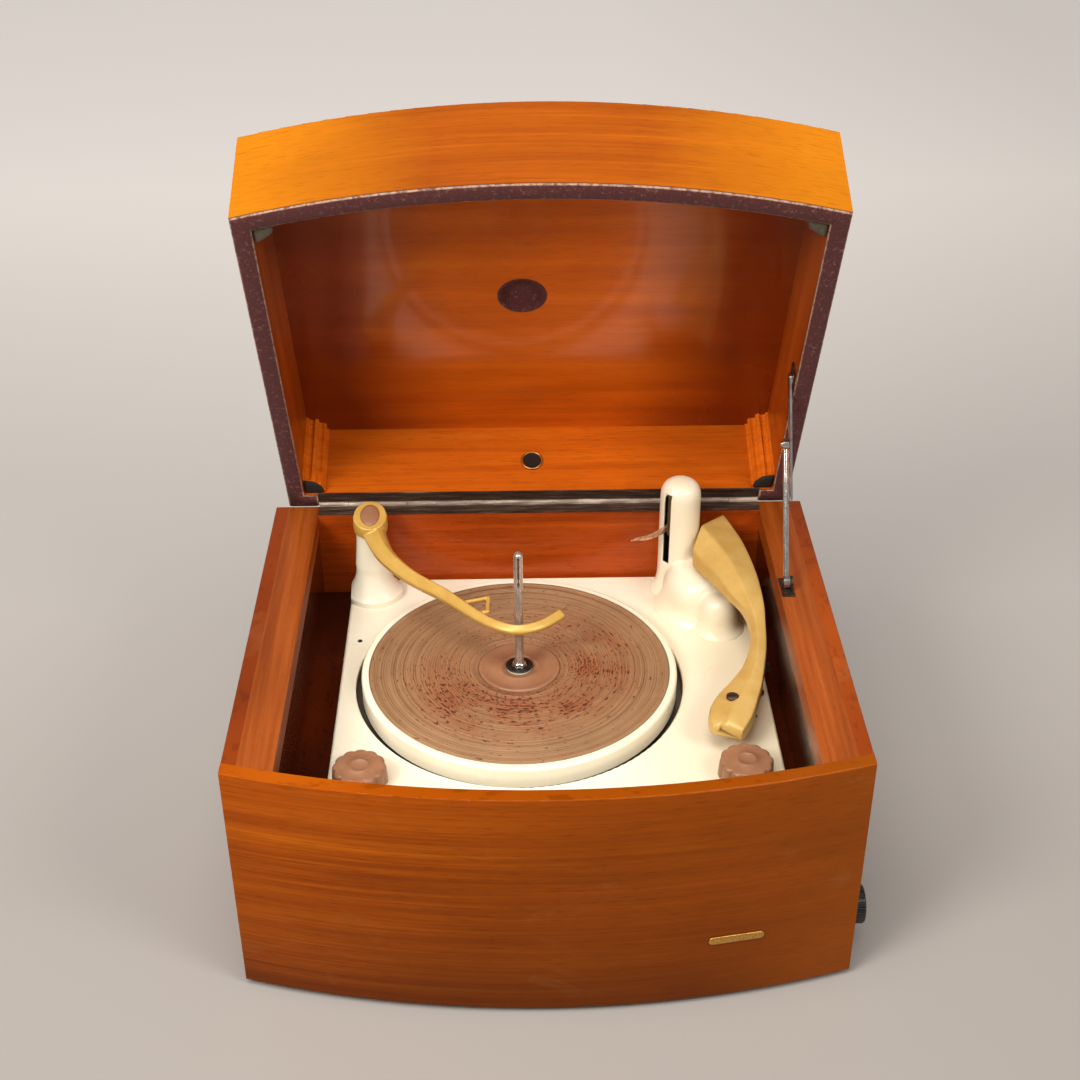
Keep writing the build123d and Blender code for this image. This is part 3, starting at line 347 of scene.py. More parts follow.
def mottled(name, chips, scale=1.0, detail=3, rough=0.5, size=(1, 1, 1), at=(0.3, 0.7), rub=None,
            rub_at=(0.0, 1.0), relief=None, fine=None, **settings):
    """Finish whose colour runs through paint chips with a noise.

    rub is its least and most roughness, relief the depth and strength of its
    surface, and fine the scale and detail of a noise of its own for that."""
    material, tree, shader = finish(name, **settings)
    where = objects_place(tree, size=size)
    mottle = noise(tree, where, scale, detail, rough)
    wire(tree, shader, Base_Color=ramp(tree, mottle, *zip(at, chips)))
    if rub:
        wire(tree, shader, Roughness=spread(tree, mottle, *rub_at, *rub))
    if relief:
        bump(tree, shader, noise(tree, where, *fine) if fine else mottle, *relief)
    return material


def round_turn(steps):
    """Angles of a full turn, in equal steps."""
    return [2 * math.pi * k / steps for k in range(steps)]


def skin(name, rings, material=None, caps=True, smooth=True):
    """Join rings with the same number of points into one closed skin."""
    count = len(rings[0])
    points = [p for ring in rings for p in ring]
    faces = []
    for row in range(len(rings) - 1):
        for k in range(count):
            a = row * count + k
            b = row * count + (k + 1) % count
            faces.append((a, b, b + count, a + count))
    if caps:
        faces.append(tuple(range(count)))
        faces.append(tuple(range(len(points) - count, len(points))))
    return new_piece(name, points, faces, material, smooth)


gilt = mottled("gilt_metal", ((176, 122, 52), (222, 176, 98)), 700, 4, 0.6, rub=(0.24, 0.42),
               rub_at=(0.3, 0.7), Metallic=1.0)
length, width, proud = BAR_SIZE
slope = math.atan2(BAR_AT[0], math.sqrt(BOW_RADIUS**2 - BAR_AT[0]**2))
on_bow = (BOW_RADIUS * math.sin(slope), BOW_CENTRE - BOW_RADIUS * math.cos(slope), BAR_AT[1])
onto_front = Matrix.Translation(on_bow) @ Matrix.Rotation(slope, 4, "Z")
rings = []
for inset, out in BAR_RIM:
    ring = []
    for a in round_turn(BAR_STEPS):
        reach = (length - width) / 2 * (1 if math.cos(a) > 0 else -1)
        half = width / 2 - inset
        ring.append(onto_front @ Vector((reach + half * math.cos(a), -proud * out, half * math.sin(a))))
    rings.append(ring)
settle(skin("front_bar", rings, gilt), "cabinet", "chrome")


# Rim rails and the linings under them: solid mahogany along the sides, the rails a little paler
# where hands have polished them, the linings dark, partly as painted shade in the gaps beside the deck.
rail_wood = polished_wood("rail_wood", ((118, 50, 12), (150, 70, 20), (174, 90, 34)), (0.34, 0.012, 0.03),
                          turn=QUARTER, coat=0.22, nicks=0.82)
# Painted shade: the linings and motor board are darker than their own stain, standing in for the shade in the
# gaps beside the deck.
dark_and_shaded_wood = polished_wood("dark_and_shaded_wood", ((34, 10, 3), (58, 18, 4), (80, 28, 6)), (0.30, 0.2, 0.014),
                          turn=QUARTER, coat=0.5, rough=0.18)
back_wood = polished_wood("back_wood", ((120, 44, 5), (160, 62, 9), (184, 80, 16)), (0.40, 0.3, 0.020),
                          coat=0.20, rough=0.26, haze=0.20)
dress(rail_wood, "rim_rails")
dress(dark_and_shaded_wood, "inner_linings", "motor_board")
dress(back_wood, "back_rail")


# Hidden boards: birch plywood bottom and battens, a dark pressed back cover, and
# a black stained plinth.
birch = polished_wood("birch_ply", ((150, 116, 74), (190, 156, 108), (214, 184, 138)), (0.25, 0.02, 0.02),
                      coat=0.0, rough=0.6)
pressed = mottled("pressed_board", ((58, 38, 26), (92, 64, 44)), 260, 4, 0.7, at=(0.35, 0.65),
                  relief=(0.0002, 0.5), fine=(1400, 2), Roughness=0.75)
stained = mottled("black_stain", ((18, 14, 12), (34, 26, 22)), size=(0.2, 0.2, 0.01), Roughness=0.5)
dress(birch, "bottom_board", "board_battens")
dress(pressed, "back_cover")
dress(stained, "plinth_frame")


# Speakers: woven gold-brown cloth drawn taut behind each side opening, a dark
# pressed-paper cone behind it, and a steel frame with its magnet.
CLOTH_PITCH = 0.0016
CLOTH_THICK = 0.0008
CLOTH_BELLY = 0.0006
CLOTH_STEPS = (48, 24)

cloth_weave, tree, shader = finish("grille_weave", Roughness=0.85)
threads = axes(tree, objects_place(tree, size=(CLOTH_PITCH, CLOTH_PITCH, CLOTH_PITCH)))
warp, weft = (maths(tree, "SINE", times(tree, way, 2 * math.pi)) for way in (threads[1], threads[2]))
over = times(tree, warp, weft)
slub = noise(tree, objects_place(tree, size=(0.02, 0.03, 0.0012)), 1.0, 3.0, 0.6)
thread = maths(tree, "ADD", times(tree, over, 0.3), slub)
wire(tree, shader, Base_Color=ramp(tree, thread, (0.25, (62, 44, 22)), (0.55, (150, 112, 58)),
                                   (0.85, (206, 170, 104))))
bump(tree, shader, over, 0.0003, 0.7)


def cloth_sheet(name, low, high):
    """Taut sheet across x between two corners, bellied outwards at its middle."""
    across, up = CLOTH_STEPS
    row = across + 1
    outward = 1 if low[0] > 0 else -1
    points = []
    for layer_x in (low[0], high[0]):
        for j in range(up + 1):
            for i in range(row):
                u, v = i / across, j / up
                belly = math.sin(math.pi * u) * math.sin(math.pi * v) * CLOTH_BELLY
                points.append((layer_x + outward * belly, low[1] + (high[1] - low[1]) * u,
                               low[2] + (high[2] - low[2]) * v))
    side = row * (up + 1)
    faces = []
    for j in range(up):
        for i in range(across):
            a = j * row + i
            faces.append((a, a + 1, a + row + 1, a + row))
            faces.append((a + side, a + row + side, a + row + 1 + side, a + 1 + side))
    edge = list(range(row))
    edge += [j * row + across for j in range(1, up + 1)]
    edge += [up * row + i for i in range(across - 1, -1, -1)]
    edge += [j * row for j in range(up - 1, 0, -1)]
    for a, b in zip(edge, edge[1:] + edge[:1]):
        faces.append((a, b, b + side, a + side))
    return new_piece(name, points, faces, cloth_weave)


low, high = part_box("grille_cloths")
for side, x0, x1 in (("left", low[0], low[0] + CLOTH_THICK), ("right", high[0] - CLOTH_THICK, high[0])):
    cloth = cloth_sheet(f"grille_cloth_{side}", (x0, low[1], low[2]), (x1, high[1], high[2]))
    settle(cloth, "cabinet", "grille_cloth", "grille_cloths")

paper_cone = mottled("cone_paper", ((26, 25, 24), (48, 46, 43)), 400, 4, 0.6, relief=(0.0002, 0.5),
                     Roughness=0.9)
dress(paper_cone, "speaker_cones")


# Lid boards: brighter, more orange veneer than the cabinet, its streaks along
# the width of the lid, drawn on the shut lid and swung open with it.
HINGE_AT = Vector((0, 0.1774, 0.20795))
OPEN_ANGLE = math.radians(65.5)
INNER_HEIGHT = 0.0735

on_lid = {"centre": HINGE_AT, "turn": (-OPEN_ANGLE, 0, 0)}
swing_open = (Matrix.Translation(HINGE_AT) @ Matrix.Rotation(-OPEN_ANGLE, 4, "X")
              @ Matrix.Translation(-HINGE_AT))
# Painted light: the lid front's ends are painted paler; painted shadow: the inner board darkens towards both
# sides, as the shadow of the lid's sides.
painted_bright_ends = ("X mirrored", (206, 122, 6), 0.08, 0.20, 0.85)
painted_shadow_ends = ("X mirrored", (112, 34, 4), 0.07, 0.16, 0.84, INNER_HEIGHT)
lid_front_wood = polished_wood("lid_front_wood", ((134, 58, 3), (158, 74, 4), (180, 92, 8)),
                               (0.45, 0.5, 0.010), nicks=0.81, patch=0.10, light_fades=(painted_bright_ends,), **on_lid)
lid_inner_wood = polished_wood("lid_inner_wood", ((186, 79, 8), (213, 98, 13), (229, 112, 21)),
                               (0.50, 0.030, 0.030), coat=0.50, rough=0.22, haze=0.10, light_fades=(painted_shadow_ends,),
                               **on_lid)
lid_back_wood = polished_wood("lid_back_wood", ((166, 70, 8), (196, 90, 12), (212, 108, 22)),
                              (0.45, 0.5, 0.018), coat=0.35, **on_lid)
# Painted light: the corner blocks take a brighter copy of the back board's wood, standing in for the
# highlight on their rounded faces.
lit_corner_wood = polished_wood("lit_corner_wood", ((190, 84, 12), (224, 108, 18), (242, 128, 30)),
                            (0.45, 0.5, 0.018), coat=0.35, **on_lid)
lid_side_wood = polished_wood("lid_side_wood", ((132, 52, 8), (164, 70, 12), (186, 90, 22)),
                              (0.012, 0.40, 0.016), coat=0.35, **on_lid)
dress(lid_front_wood, "lid_front")
dress(lid_inner_wood, "lid_top")
dress(lid_back_wood, "lid_back")
dress(lit_corner_wood, "lid_corner_blocks")
dress(lid_side_wood, "lid_left_side", "lid_right_side")


# Rim felt: a maroon flocked strip glued round the lid's edge so that it shuts softly, U-shaped
# because the hinge takes the back; its flock is dusty, and paler in patches along its two cut sides.
FELT_LOW, FELT_HIGH = 0.2070, 0.2092
FELT_OUTER = (0.2160, 0.7633)
FELT_INNER = (0.2020, 0.7493)
FELT_END = 0.1782
FELT_STEP = (0.1905, 0.1640)
FELT_SECTION = ((0.0, 0.3), (0.0, 1.0), (0.5, 1.0), (1.0, 1.0), (1.0, 0.3), (0.92, 0.0), (0.5, -0.06),
                (0.08, 0.0))
LID_BOW_CENTRE = 0.5595
SIDE_STEPS, BOW_STEPS = 60, 90
SLIVER = 0.0001

flock, tree, shader = finish("maroon_flock", Roughness=0.95, Sheen_Weight=0.06, Sheen_Roughness=0.5)
pile = noise(tree, objects_place(tree), 900, 4, 0.7)
dust = noise(tree, objects_place(tree), 260, 5, 0.75)
shade = ramp(tree, pile, (0.3, (58, 20, 20)), (0.7, (104, 44, 42)))
shade = mixed(tree, spread(tree, dust, 0.56, 0.68, 0.0, 0.55), shade, colour(164, 118, 108))
cut_edge = add(tree, "ShaderNodeAttribute", attribute_name="edge").outputs["Fac"]
pale_side_edge = times(tree, spread(tree, cut_edge, 0.15, 0.6), spread(tree, dust, 0.40, 0.54, 0.15, 0.9))
wire(tree, shader, Base_Color=mixed(tree, pale_side_edge, shade, colour(186, 152, 126)))
bump(tree, shader, pile, 0.0006, 0.8)


def felt_corner(half, radius):
    """Where the straight side meets the bowed front, as a y value."""
    return LID_BOW_CENTRE - math.sqrt(radius**2 - half**2)


def felt_line(half, radius, back_half):
    """One edge of the strip: left side, bowed front, right side; it steps in by the corner blocks."""
    corner = felt_corner(half, radius)
    side = [(half, FELT_END + (corner - FELT_END) * k / SIDE_STEPS) for k in range(SIDE_STEPS)]
    side = [(back_half, FELT_END), (back_half, FELT_STEP[1]), (half, FELT_STEP[1] - SLIVER)] + side[4:]
    sweep = math.asin(half / radius)
    turns = [sweep * (1 - 2 * k / BOW_STEPS) for k in range(BOW_STEPS + 1)]
    front = [(-radius * math.sin(a), LID_BOW_CENTRE - radius * math.cos(a)) for a in turns]
    return [(-x, y) for x, y in side] + front + side[::-1]


outer = felt_line(*FELT_OUTER, FELT_OUTER[0])
inner = felt_line(*FELT_INNER, FELT_STEP[0])
rings = []
for (ox, oy), (ix, iy) in zip(outer, inner):
    ring = []
    for share, up in FELT_SECTION:
        z = FELT_LOW + SLIVER + (FELT_HIGH - FELT_LOW - SLIVER) * up
        ring.append(swing_open @ Vector((ox + (ix - ox) * share, oy + (iy - oy) * share, z)))
    rings.append(ring)
strip = skin("rim_felt", rings, flock)
edge = strip.data.attributes.new("edge", "FLOAT", "POINT")
edge.data.foreach_set("value", [1.0 if k % 8 in (0, 4) else 0.0 for k in range(len(strip.data.vertices))])
settle(strip, "lid", "maroon_felt", "lid_rim_felt")


# Felt cup let into the lid's inside, where the tall spindle goes when the lid is
# shut: a turned maroon lining whose cut edge stands proud of the veneer.
CUP_AT = (-0.013, -0.011)
CUP_RADIUS = 0.0188
CUP_MOUTH = 0.2784
CUP_FLOOR = 0.2845


def lathe(name, profile, place, material=None, steps=96):
    """Turn a profile of (radius, height) about an axis, then put it in its place."""
    rings = [[place @ Vector((radius * math.cos(a), radius * math.sin(a), height)) for a in round_turn(steps)]
             for radius, height in profile]
    return skin(name, rings, material, caps=False)


def upright(at, height=0.0):
    """Placement over a point of the plan."""
    return Matrix.Translation((at[0], at[1], height))


cup = [(0, CUP_FLOOR - 0.0009), (CUP_RADIUS - 0.0035, CUP_FLOOR - 0.0009),
       (CUP_RADIUS - 0.0016, CUP_FLOOR - 0.0022), (CUP_RADIUS - 0.0013, CUP_MOUTH + 0.0004),
       (CUP_RADIUS - 0.0006, CUP_MOUTH - 0.0003), (CUP_RADIUS + 0.0010, CUP_MOUTH - 0.0001),
       (CUP_RADIUS + 0.0010, CUP_MOUTH + 0.0002), (CUP_RADIUS, CUP_MOUTH + 0.0006),
       (CUP_RADIUS, CUP_FLOOR), (0, CUP_FLOOR)]
made = settle(lathe("spindle_cup_felt", cup, swing_open @ upright(CUP_AT), flock), "lid", "maroon_felt")


# Small pads in the lid: two grey-green ones let into the front corners of the
# rim, and two dark ones on the feet of the corner blocks at the back.
FRONT_PAD_HEIGHTS = (0.2096, 0.2200)
BACK_PAD_HEIGHTS = (0.2104, 0.2121)
PAD_SWELL = 0.0006
FRONT_PAD = ((0.0003, 0.0010), (0.0150, -0.0020), (0.0140, 0.0060), (0.0005, 0.0165))
BACK_PAD = ((0.0006, 0.1634), (0.0006, 0.1460), (0.0110, 0.1492), (0.0160, 0.1560), (0.0176, 0.1634))

fuzz = {"scale": 700, "detail": 4, "rough": 0.7, "relief": (0.0005, 0.8)}
pad_cloth = mottled("pad_cloth", ((66, 60, 48), (106, 98, 80)), Roughness=0.92, **fuzz)
dark_pad = mottled("dark_pad", ((24, 20, 18), (46, 38, 34)), Roughness=0.9, **fuzz)


def cushion(name, corners, low, high, material):
    """Small pad over a polygon, crowned on its low face and rounded at its rim."""
    middle = sum((Vector((x, y, 0)) for x, y in corners), Vector()) / len(corners)
    outline = []
    for (x, y), (nx, ny) in zip(corners, corners[1:] + corners[:1]):
        outline += [Vector((x + (nx - x) * t / 6, y + (ny - y) * t / 6, 0)) for t in range(6)]
    for _ in range(2):
        outline = [(a + b * 2 + c) / 4 for a, b, c in zip(outline[-1:] + outline, outline,
                                                          outline[1:] + outline[:1])]
    section = ((0.2, high), (1.0, high), (1.0, low + 0.0007), (0.95, low + 0.0002),
               (0.75, low - PAD_SWELL * 0.7), (0.4, low - PAD_SWELL), (0.05, low - PAD_SWELL))
    rings = [[swing_open @ (middle + (p - middle) * share + Vector((0, 0, z))) for p in outline]
             for share, z in section]
    made = settle(skin(name, rings, material), "lid", "grille_cloth")


corner_y = felt_corner(*FELT_INNER)
for sign, side in ((-1, "left"), (1, "right")):
    front = [(sign * (FELT_INNER[0] - inset), corner_y + y) for inset, y in FRONT_PAD]
    cushion(f"front_pad_{side}", front, *FRONT_PAD_HEIGHTS, pad_cloth)
    back = [(sign * (FELT_INNER[0] - inset), y) for inset, y in BACK_PAD]
    cushion(f"back_pad_{side}", back, *BACK_PAD_HEIGHTS, dark_pad)


# Plain dark disc on the lid's back board, with a thin gilt ring pressed round
# it: a moulded button glued to the wood.
DISC_AT = (-0.0055, 0.1639, 0.2422)
DISC_RADIUS = 0.0095

black = mottled("black_moulding", ((16, 15, 15), (32, 30, 29)), 300, rub=(0.28, 0.50))
facing_front = swing_open @ Matrix.Translation(DISC_AT) @ Matrix.Rotation(math.pi / 2, 4, "X")
button = [(0, 0.0), (DISC_RADIUS, 0.0), (DISC_RADIUS, 0.0008), (DISC_RADIUS - 0.0008, 0.0013),
          (DISC_RADIUS - 0.0022, 0.0010), (0, 0.0011)]
ring = [(DISC_RADIUS - 0.0018, 0.0009), (DISC_RADIUS - 0.0012, 0.0016), (DISC_RADIUS - 0.0002, 0.0014),
        (DISC_RADIUS + 0.0001, 0.0008), (DISC_RADIUS - 0.0018, 0.0009)]
settle(lathe("lid_disc", button, facing_front, black, 48), "lid", "black_plastic")
settle(lathe("lid_disc_ring", ring, facing_front, gilt, 48), "lid", "chrome")


# Metalwork: a darkened steel piano hinge with painted highlights on its paler roll, a bright
# plated stay on tarnished brackets, a satin spindle and the plain steel works.
ROLL_RADII = (0.0028, 0.0040)


def off_axis(tree, first, second):
    """Distance from an axis, from the two coordinates across it."""
    squares = [maths(tree, "POWER", value, 2.0) for value in (first, second)]
    return maths(tree, "SQRT", maths(tree, "ADD", *squares))


aged, tree, shader = finish("aged_steel", Metallic=0.35, Specular_IOR_Level=0.45)
wear = noise(tree, objects_place(tree, size=(0.03, 0.003, 0.003)), 1.0, 5.0, 0.7)
_, y, z = axes(tree, objects_place(tree, centre=HINGE_AT))
on_roll = spread(tree, off_axis(tree, y, z), *ROLL_RADII, 1.0, 0.0)
leaf = ramp(tree, wear, (0.35, (46, 32, 23)), (0.55, (84, 63, 51)), (0.72, (146, 117, 99)))
# Painted highlight: the roll's colour runs up to near white, standing in for bright streaks of light on it.
roll_with_highlights = ramp(tree, wear, (0.32, (124, 104, 88)), (0.50, (176, 152, 134)), (0.66, (234, 216, 198)))
wire(tree, shader, Base_Color=mixed(tree, on_roll, leaf, roll_with_highlights),
     Roughness=spread(tree, wear, 0.0, 1.0, 0.34, 0.58))
bump(tree, shader, wear, 0.0002, 0.4)
chrome = mottled("bright_chrome", ((196, 190, 184), (228, 224, 220)), 160, rub=(0.08, 0.24), Metallic=1.0)
satin = mottled("satin_steel", ((176, 166, 158), (222, 214, 206)), size=(0.003, 0.003, 0.02),
                rub=(0.20, 0.34), Metallic=0.75)
steel = mottled("plain_steel", ((128, 124, 118), (170, 166, 160)), 220, 4, rub=(0.30, 0.50), Metallic=1.0)
tarnished = mottled("tarnished_steel", ((38, 28, 22), (84, 66, 54), (140, 118, 100)), 420, 5, 0.7,
                    at=(0.3, 0.55, 0.75), rub=(0.35, 0.65), relief=(0.0003, 0.6), Metallic=0.8)
dress(aged, "hinge_base_leaf", "hinge_lid_leaf", "hinge_pin")
dress(chrome, "stay_rod", "stay_arm", "platter_bearing")
dress(satin, "spindle")
dress(steel, "tonearm_gimbal", "stylus_bar", "overarm_shaft", "spindle_latch", "motor_body", "motor_pulley",
      "idler_carrier", "speaker_frames", "amplifier_chassis", "control_pots")
dress(tarnished, "stay_cabinet_bracket", "stay_lid_bracket")


# Screws: slotted countersunk heads in the hinge leaves, the back cover and the
# deck, each turned at random and set on its own surface.
SCREW_RADIUS = 0.0021
SCREW_DOME = ((1.0, -0.0009), (1.0, 0.0001), (0.90, 0.0004), (0.55, 0.00062))
SCREW_STEPS = 16
SCREW_SUNK = 0.0007
SLOT_CORNER = (0.0003, 0.0040, 0.0001)
SLOT_TOP = 0.0030
LEAF_SCREWS = 10
LEAF_RUN = 0.352
COVER_SCREWS = (-0.200, -0.067, 0.067, 0.200)
COVER_EDGE = 0.008


def node_group(name, **inputs):
    """Empty geometry tree with a geometry input, named inputs and one output."""
    group = bpy.data.node_groups.new(name, "GeometryNodeTree")
    group.interface.new_socket("Geometry", in_out="INPUT", socket_type="NodeSocketGeometry")
    for label, kind in inputs.items():
        group.interface.new_socket(label, in_out="INPUT", socket_type="NodeSocket" + kind)
    group.interface.new_socket("Geometry", in_out="OUTPUT", socket_type="NodeSocketGeometry")
    return group, group.nodes.new("NodeGroupInput").outputs, group.nodes.new("NodeGroupOutput")


def vector(tree, x=0.0, y=0.0, z=0.0):
    """Three values as one vector."""
    return add(tree, "ShaderNodeCombineXYZ", {0: x, 1: y, 2: z}).outputs[0]


def give_out(group, shape, given, result):
    """End a geometry tree: real geometry, with its material set."""
    real = add(group, "GeometryNodeRealizeInstances", {"Geometry": shape})
    painted = add(group, "GeometryNodeSetMaterial", {"Geometry": real.outputs[0],
                                                     "Material": given["Material"]})
    group.links.new(painted.outputs[0], result.inputs[0])


def baked(made):
    """Replace an object's mesh by what its modifiers make of it, and drop them."""
    graph = bpy.context.evaluated_depsgraph_get()
    mesh = bpy.data.meshes.new_from_object(made.evaluated_get(graph), depsgraph=graph)
    made.modifiers.clear()
    made.data = mesh
    return made


def grown(made, group, **values):
    """Run a geometry tree on an object and keep its result as a plain mesh."""
    modifier = made.modifiers.new("grown", "NODES")
    modifier.node_group = group
    for item in group.interface.items_tree:
        if item.in_out == "INPUT" and item.name in values:
            modifier[item.identifier] = values[item.name]
    made.update_tag()
    return baked(made)


def cut_away(made, cutter):
    """Take a closed cutter out of a piece."""
    bite = made.modifiers.new("cut", "BOOLEAN")
    bite.object = cutter
    bite.operation = "DIFFERENCE"
    bite.solver = "EXACT"
    baked(made)
    bpy.data.objects.remove(cutter)
    return made


def brick(name, low, high, place=Matrix.Identity(4)):
    """Plain closed cutter between two corners."""
    points = [place @ Vector((x, y, z)) for x in (low[0], high[0]) for y in (low[1], high[1])
              for z in (low[2], high[2])]
    faces = [(0, 1, 3, 2), (4, 6, 7, 5), (0, 4, 5, 1), (2, 3, 7, 6), (0, 2, 6, 4), (1, 5, 7, 3)]
    return new_piece(name, points, faces)


screws, given, result = node_group("screws", Head="Object", Material="Material", Seed="Int")
facing = add(screws, "GeometryNodeInputNamedAttribute", {"Name": "facing"}, data_type="FLOAT_VECTOR")
aimed = add(screws, "FunctionNodeAlignRotationToVector", {"Vector": facing.outputs[0]}, axis="Z").outputs[0]
twist = add(screws, "FunctionNodeRandomValue", {"Min": 0.0, "Max": 3.14, "Seed": given["Seed"]},
            data_type="FLOAT")
about = add(screws, "FunctionNodeEulerToRotation", {0: vector(screws, z=twist.outputs[1])}).outputs[0]
spun = add(screws, "FunctionNodeRotateRotation", {"Rotation": aimed, "Rotate By": about},
           rotation_space="LOCAL")
head = add(screws, "GeometryNodeObjectInfo", {"Object": given["Head"]}, transform_space="ORIGINAL")
placed = add(screws, "GeometryNodeInstanceOnPoints", {"Points": given["Geometry"],
                                                      "Rotation": spun.outputs[0],
                                                      "Instance": head.outputs["Geometry"]})
give_out(screws, placed.outputs[0], given, result)

turns = [a + math.pi / SCREW_STEPS for a in round_turn(SCREW_STEPS)]
rings = [[(SCREW_RADIUS * share * math.cos(a), SCREW_RADIUS * share * math.sin(a), z) for a in turns]
         for share, z in SCREW_DOME]
screw = skin("screw_head", rings, smooth=False)
sx, sy, sz = SLOT_CORNER
cut_away(screw, brick("screw_slot", (-sx, -sy, sz), (sx, sy, SLOT_TOP)))


def screw_row(name, body, places, material, slot):
    """Screws at (place, facing) pairs, as one piece on one body."""
    made = new_piece(name, [place for place, _ in places], [], recalc=False)
    attribute = made.data.attributes.new("facing", "FLOAT_VECTOR", "POINT")
    attribute.data.foreach_set("vector", [v for _, way in places for v in way])
    grown(made, screws, Head=screw, Material=material, Seed=7)
    settle(made, body, slot)


leaf_low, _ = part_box("hinge_base_leaf")
leaf_y = leaf_low[1] + 0.0050
leaf_xs = [LEAF_RUN * (k / (LEAF_SCREWS - 1) - 0.5) for k in range(LEAF_SCREWS)]
in_base = [((x, leaf_y, leaf_low[2] + SCREW_SUNK), (0, 0, 1)) for x in leaf_xs]
screw_row("hinge_base_screws", "cabinet", in_base, aged, "aged_steel")
out_of_lid = swing_open.to_3x3() @ Vector((0, 0, -1))
in_lid = [(swing_open @ Vector((x, leaf_y, FELT_HIGH - SCREW_SUNK)), out_of_lid) for x in leaf_xs]
screw_row("hinge_lid_screws", "lid", in_lid, aged, "aged_steel")
low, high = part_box("back_cover")
cover_zs = (low[2] + COVER_EDGE, high[2] - COVER_EDGE)
in_cover = [((x, high[1], z), (0, 1, 0)) for x in COVER_SCREWS for z in cover_zs]
screw_row("cover_screws", "cabinet", in_cover, tarnished, "steel")


# Deck: ivory stoved enamel on pressed steel, glossy and faintly yellowed, with its two fixing
# screws sunk in dark holes and a painted shadow in the gap round the platter.
PLATTER_AT = Vector((-0.019, 0.010, 0))
WELL_RADIUS = 0.131
DECK_SCREWS = ((-0.151, 0.065), (0.164, -0.0415))

enamel, tree, shader = finish("ivory_enamel", Coat_Weight=0.30, Coat_Roughness=0.08, Specular_IOR_Level=0.35)
where = objects_place(tree)
shade = ramp(tree, noise(tree, where, 9, 3), (0.3, (250, 239, 210)), (0.7, (254, 246, 224)))
# Painted shade: the enamel turns darker and yellower towards the right.
shade = mixed(tree, spread(tree, axes(tree, where)[0], 0.04, 0.19, 0.0, 0.60), shade, colour(230, 208, 168))
soil = noise(tree, where, 34, 5, 0.7)
shade = mixed(tree, spread(tree, soil, 0.62, 0.80, 0.0, 0.18), shade, colour(214, 192, 150))
wire(tree, shader, Base_Color=shade, Roughness=spread(tree, noise(tree, where, 40, 3), 0.0, 1.0, 0.22, 0.38))
bump(tree, shader, noise(tree, where, 350, 2), 0.00004, 0.4)


def shaded_inside(name, centre, radii, heights, most, chip):
    """Copy of the enamel with painted shade: dark in a round hole, under a height."""
    material = enamel.copy()
    material.name = name
    tree = material.node_tree
    shader = tree.nodes["Principled BSDF"]
    x, y, z = axes(tree, objects_place(tree, centre=centre))
    inside = times(tree, spread(tree, off_axis(tree, x, y), *radii, most, 0.0),
                   spread(tree, z, *heights, 1.0, 0.0))
    outside = shader.inputs["Base Color"].links[0].from_socket
    wire(tree, shader, Base_Color=mixed(tree, inside, outside, colour(*chip)))
    return material


deck_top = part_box("overarm_post")[0][2]
# Painted shadow: the deck turns dark just outside the platter's rim, low in the well, as shade in the gap.
deck_enamel = shaded_inside("deck_enamel", PLATTER_AT, (WELL_RADIUS + 0.0010, WELL_RADIUS + 0.0015),
                          (deck_top - 0.0050, deck_top - 0.0018), 0.92, (44, 34, 26))
dress(enamel, "platter", "overarm_post")
dress(deck_enamel, "deck_plate")
in_deck = [((x, y, deck_top), (0, 0, 1)) for x, y in DECK_SCREWS]
screw_row("deck_screws", "cabinet", in_deck, tarnished, "aged_steel")
bpy.data.objects.remove(screw)


# Platter mat: brown moulded rubber with eleven broad ridges and a finer one in
# each gap, dusted with rust-red flecks, thickest in a ring round the middle.
MAT_RADIUS = 0.120
MAT_HOLE = 0.0328
RIDGE_GAPS = 10
RIDGE_MARGINS = (0.0060, 0.0030)
BROAD_RIDGE = (0.0011, 0.0006)
FINE_RIDGE = (0.0009, 0.00045)
FINE_PER_GAP = 1
GROOVE_PITCH = 0.0016
DUST_RING = 0.060
DUST_HALF_WIDTH = 0.042
FLECK_SIZE = (0.0040, 0.0018)

rubber, tree, shader = finish("brown_rubber", Roughness=0.62, Specular_IOR_Level=0.35)
where = objects_place(tree, centre=PLATTER_AT)
x, y, _ = axes(tree, where)
radius = off_axis(tree, x, y)
shade = ramp(tree, noise(tree, where, 22, 4, 0.6), (0.3, (138, 99, 66)), (0.7, (166, 124, 86)))
ringed = noise(tree, vector(tree, maths(tree, "DIVIDE", radius, 0.0034)), 1.0, 3.0, 0.6)
shade = mixed(tree, spread(tree, ringed, 0.42, 0.62, 0.0, 0.42), shade, colour(186, 148, 108))
groove = maths(tree, "SINE", times(tree, radius, 2 * math.pi / GROOVE_PITCH))
# Painted shade: the rubber is painted slightly darker in the fine grooves.
shade = mixed(tree, spread(tree, groove, -1.0, 1.0, 0.08, 0.0), shade, colour(116, 76, 50))
off_ring = maths(tree, "DIVIDE", minus(tree, radius, DUST_RING), DUST_HALF_WIDTH)
band = maths(tree, "SUBTRACT", 1.0, maths(tree, "ABSOLUTE", off_ring), clamp=True)
to_front_right = spread(tree, minus(tree, times(tree, x, 0.6), y), -0.09, 0.03)
uneven = spread(tree, noise(tree, where, 24, 3, 0.6), 0.32, 0.58)
thick_dust = times(tree, spread(tree, band, 0.0, 0.7), to_front_right, uneven)
shade = mixed(tree, times(tree, thick_dust, 0.60), shade, colour(150, 62, 20))
around = times(tree, maths(tree, "ARCTAN2", y, times(tree, x, -1.0)), DUST_RING)
dash = vector(tree, *(maths(tree, "DIVIDE", way, size) for way, size in zip((around, radius), FLECK_SIZE)))
rarity = minus(tree, 0.660, times(tree, thick_dust, 0.150))
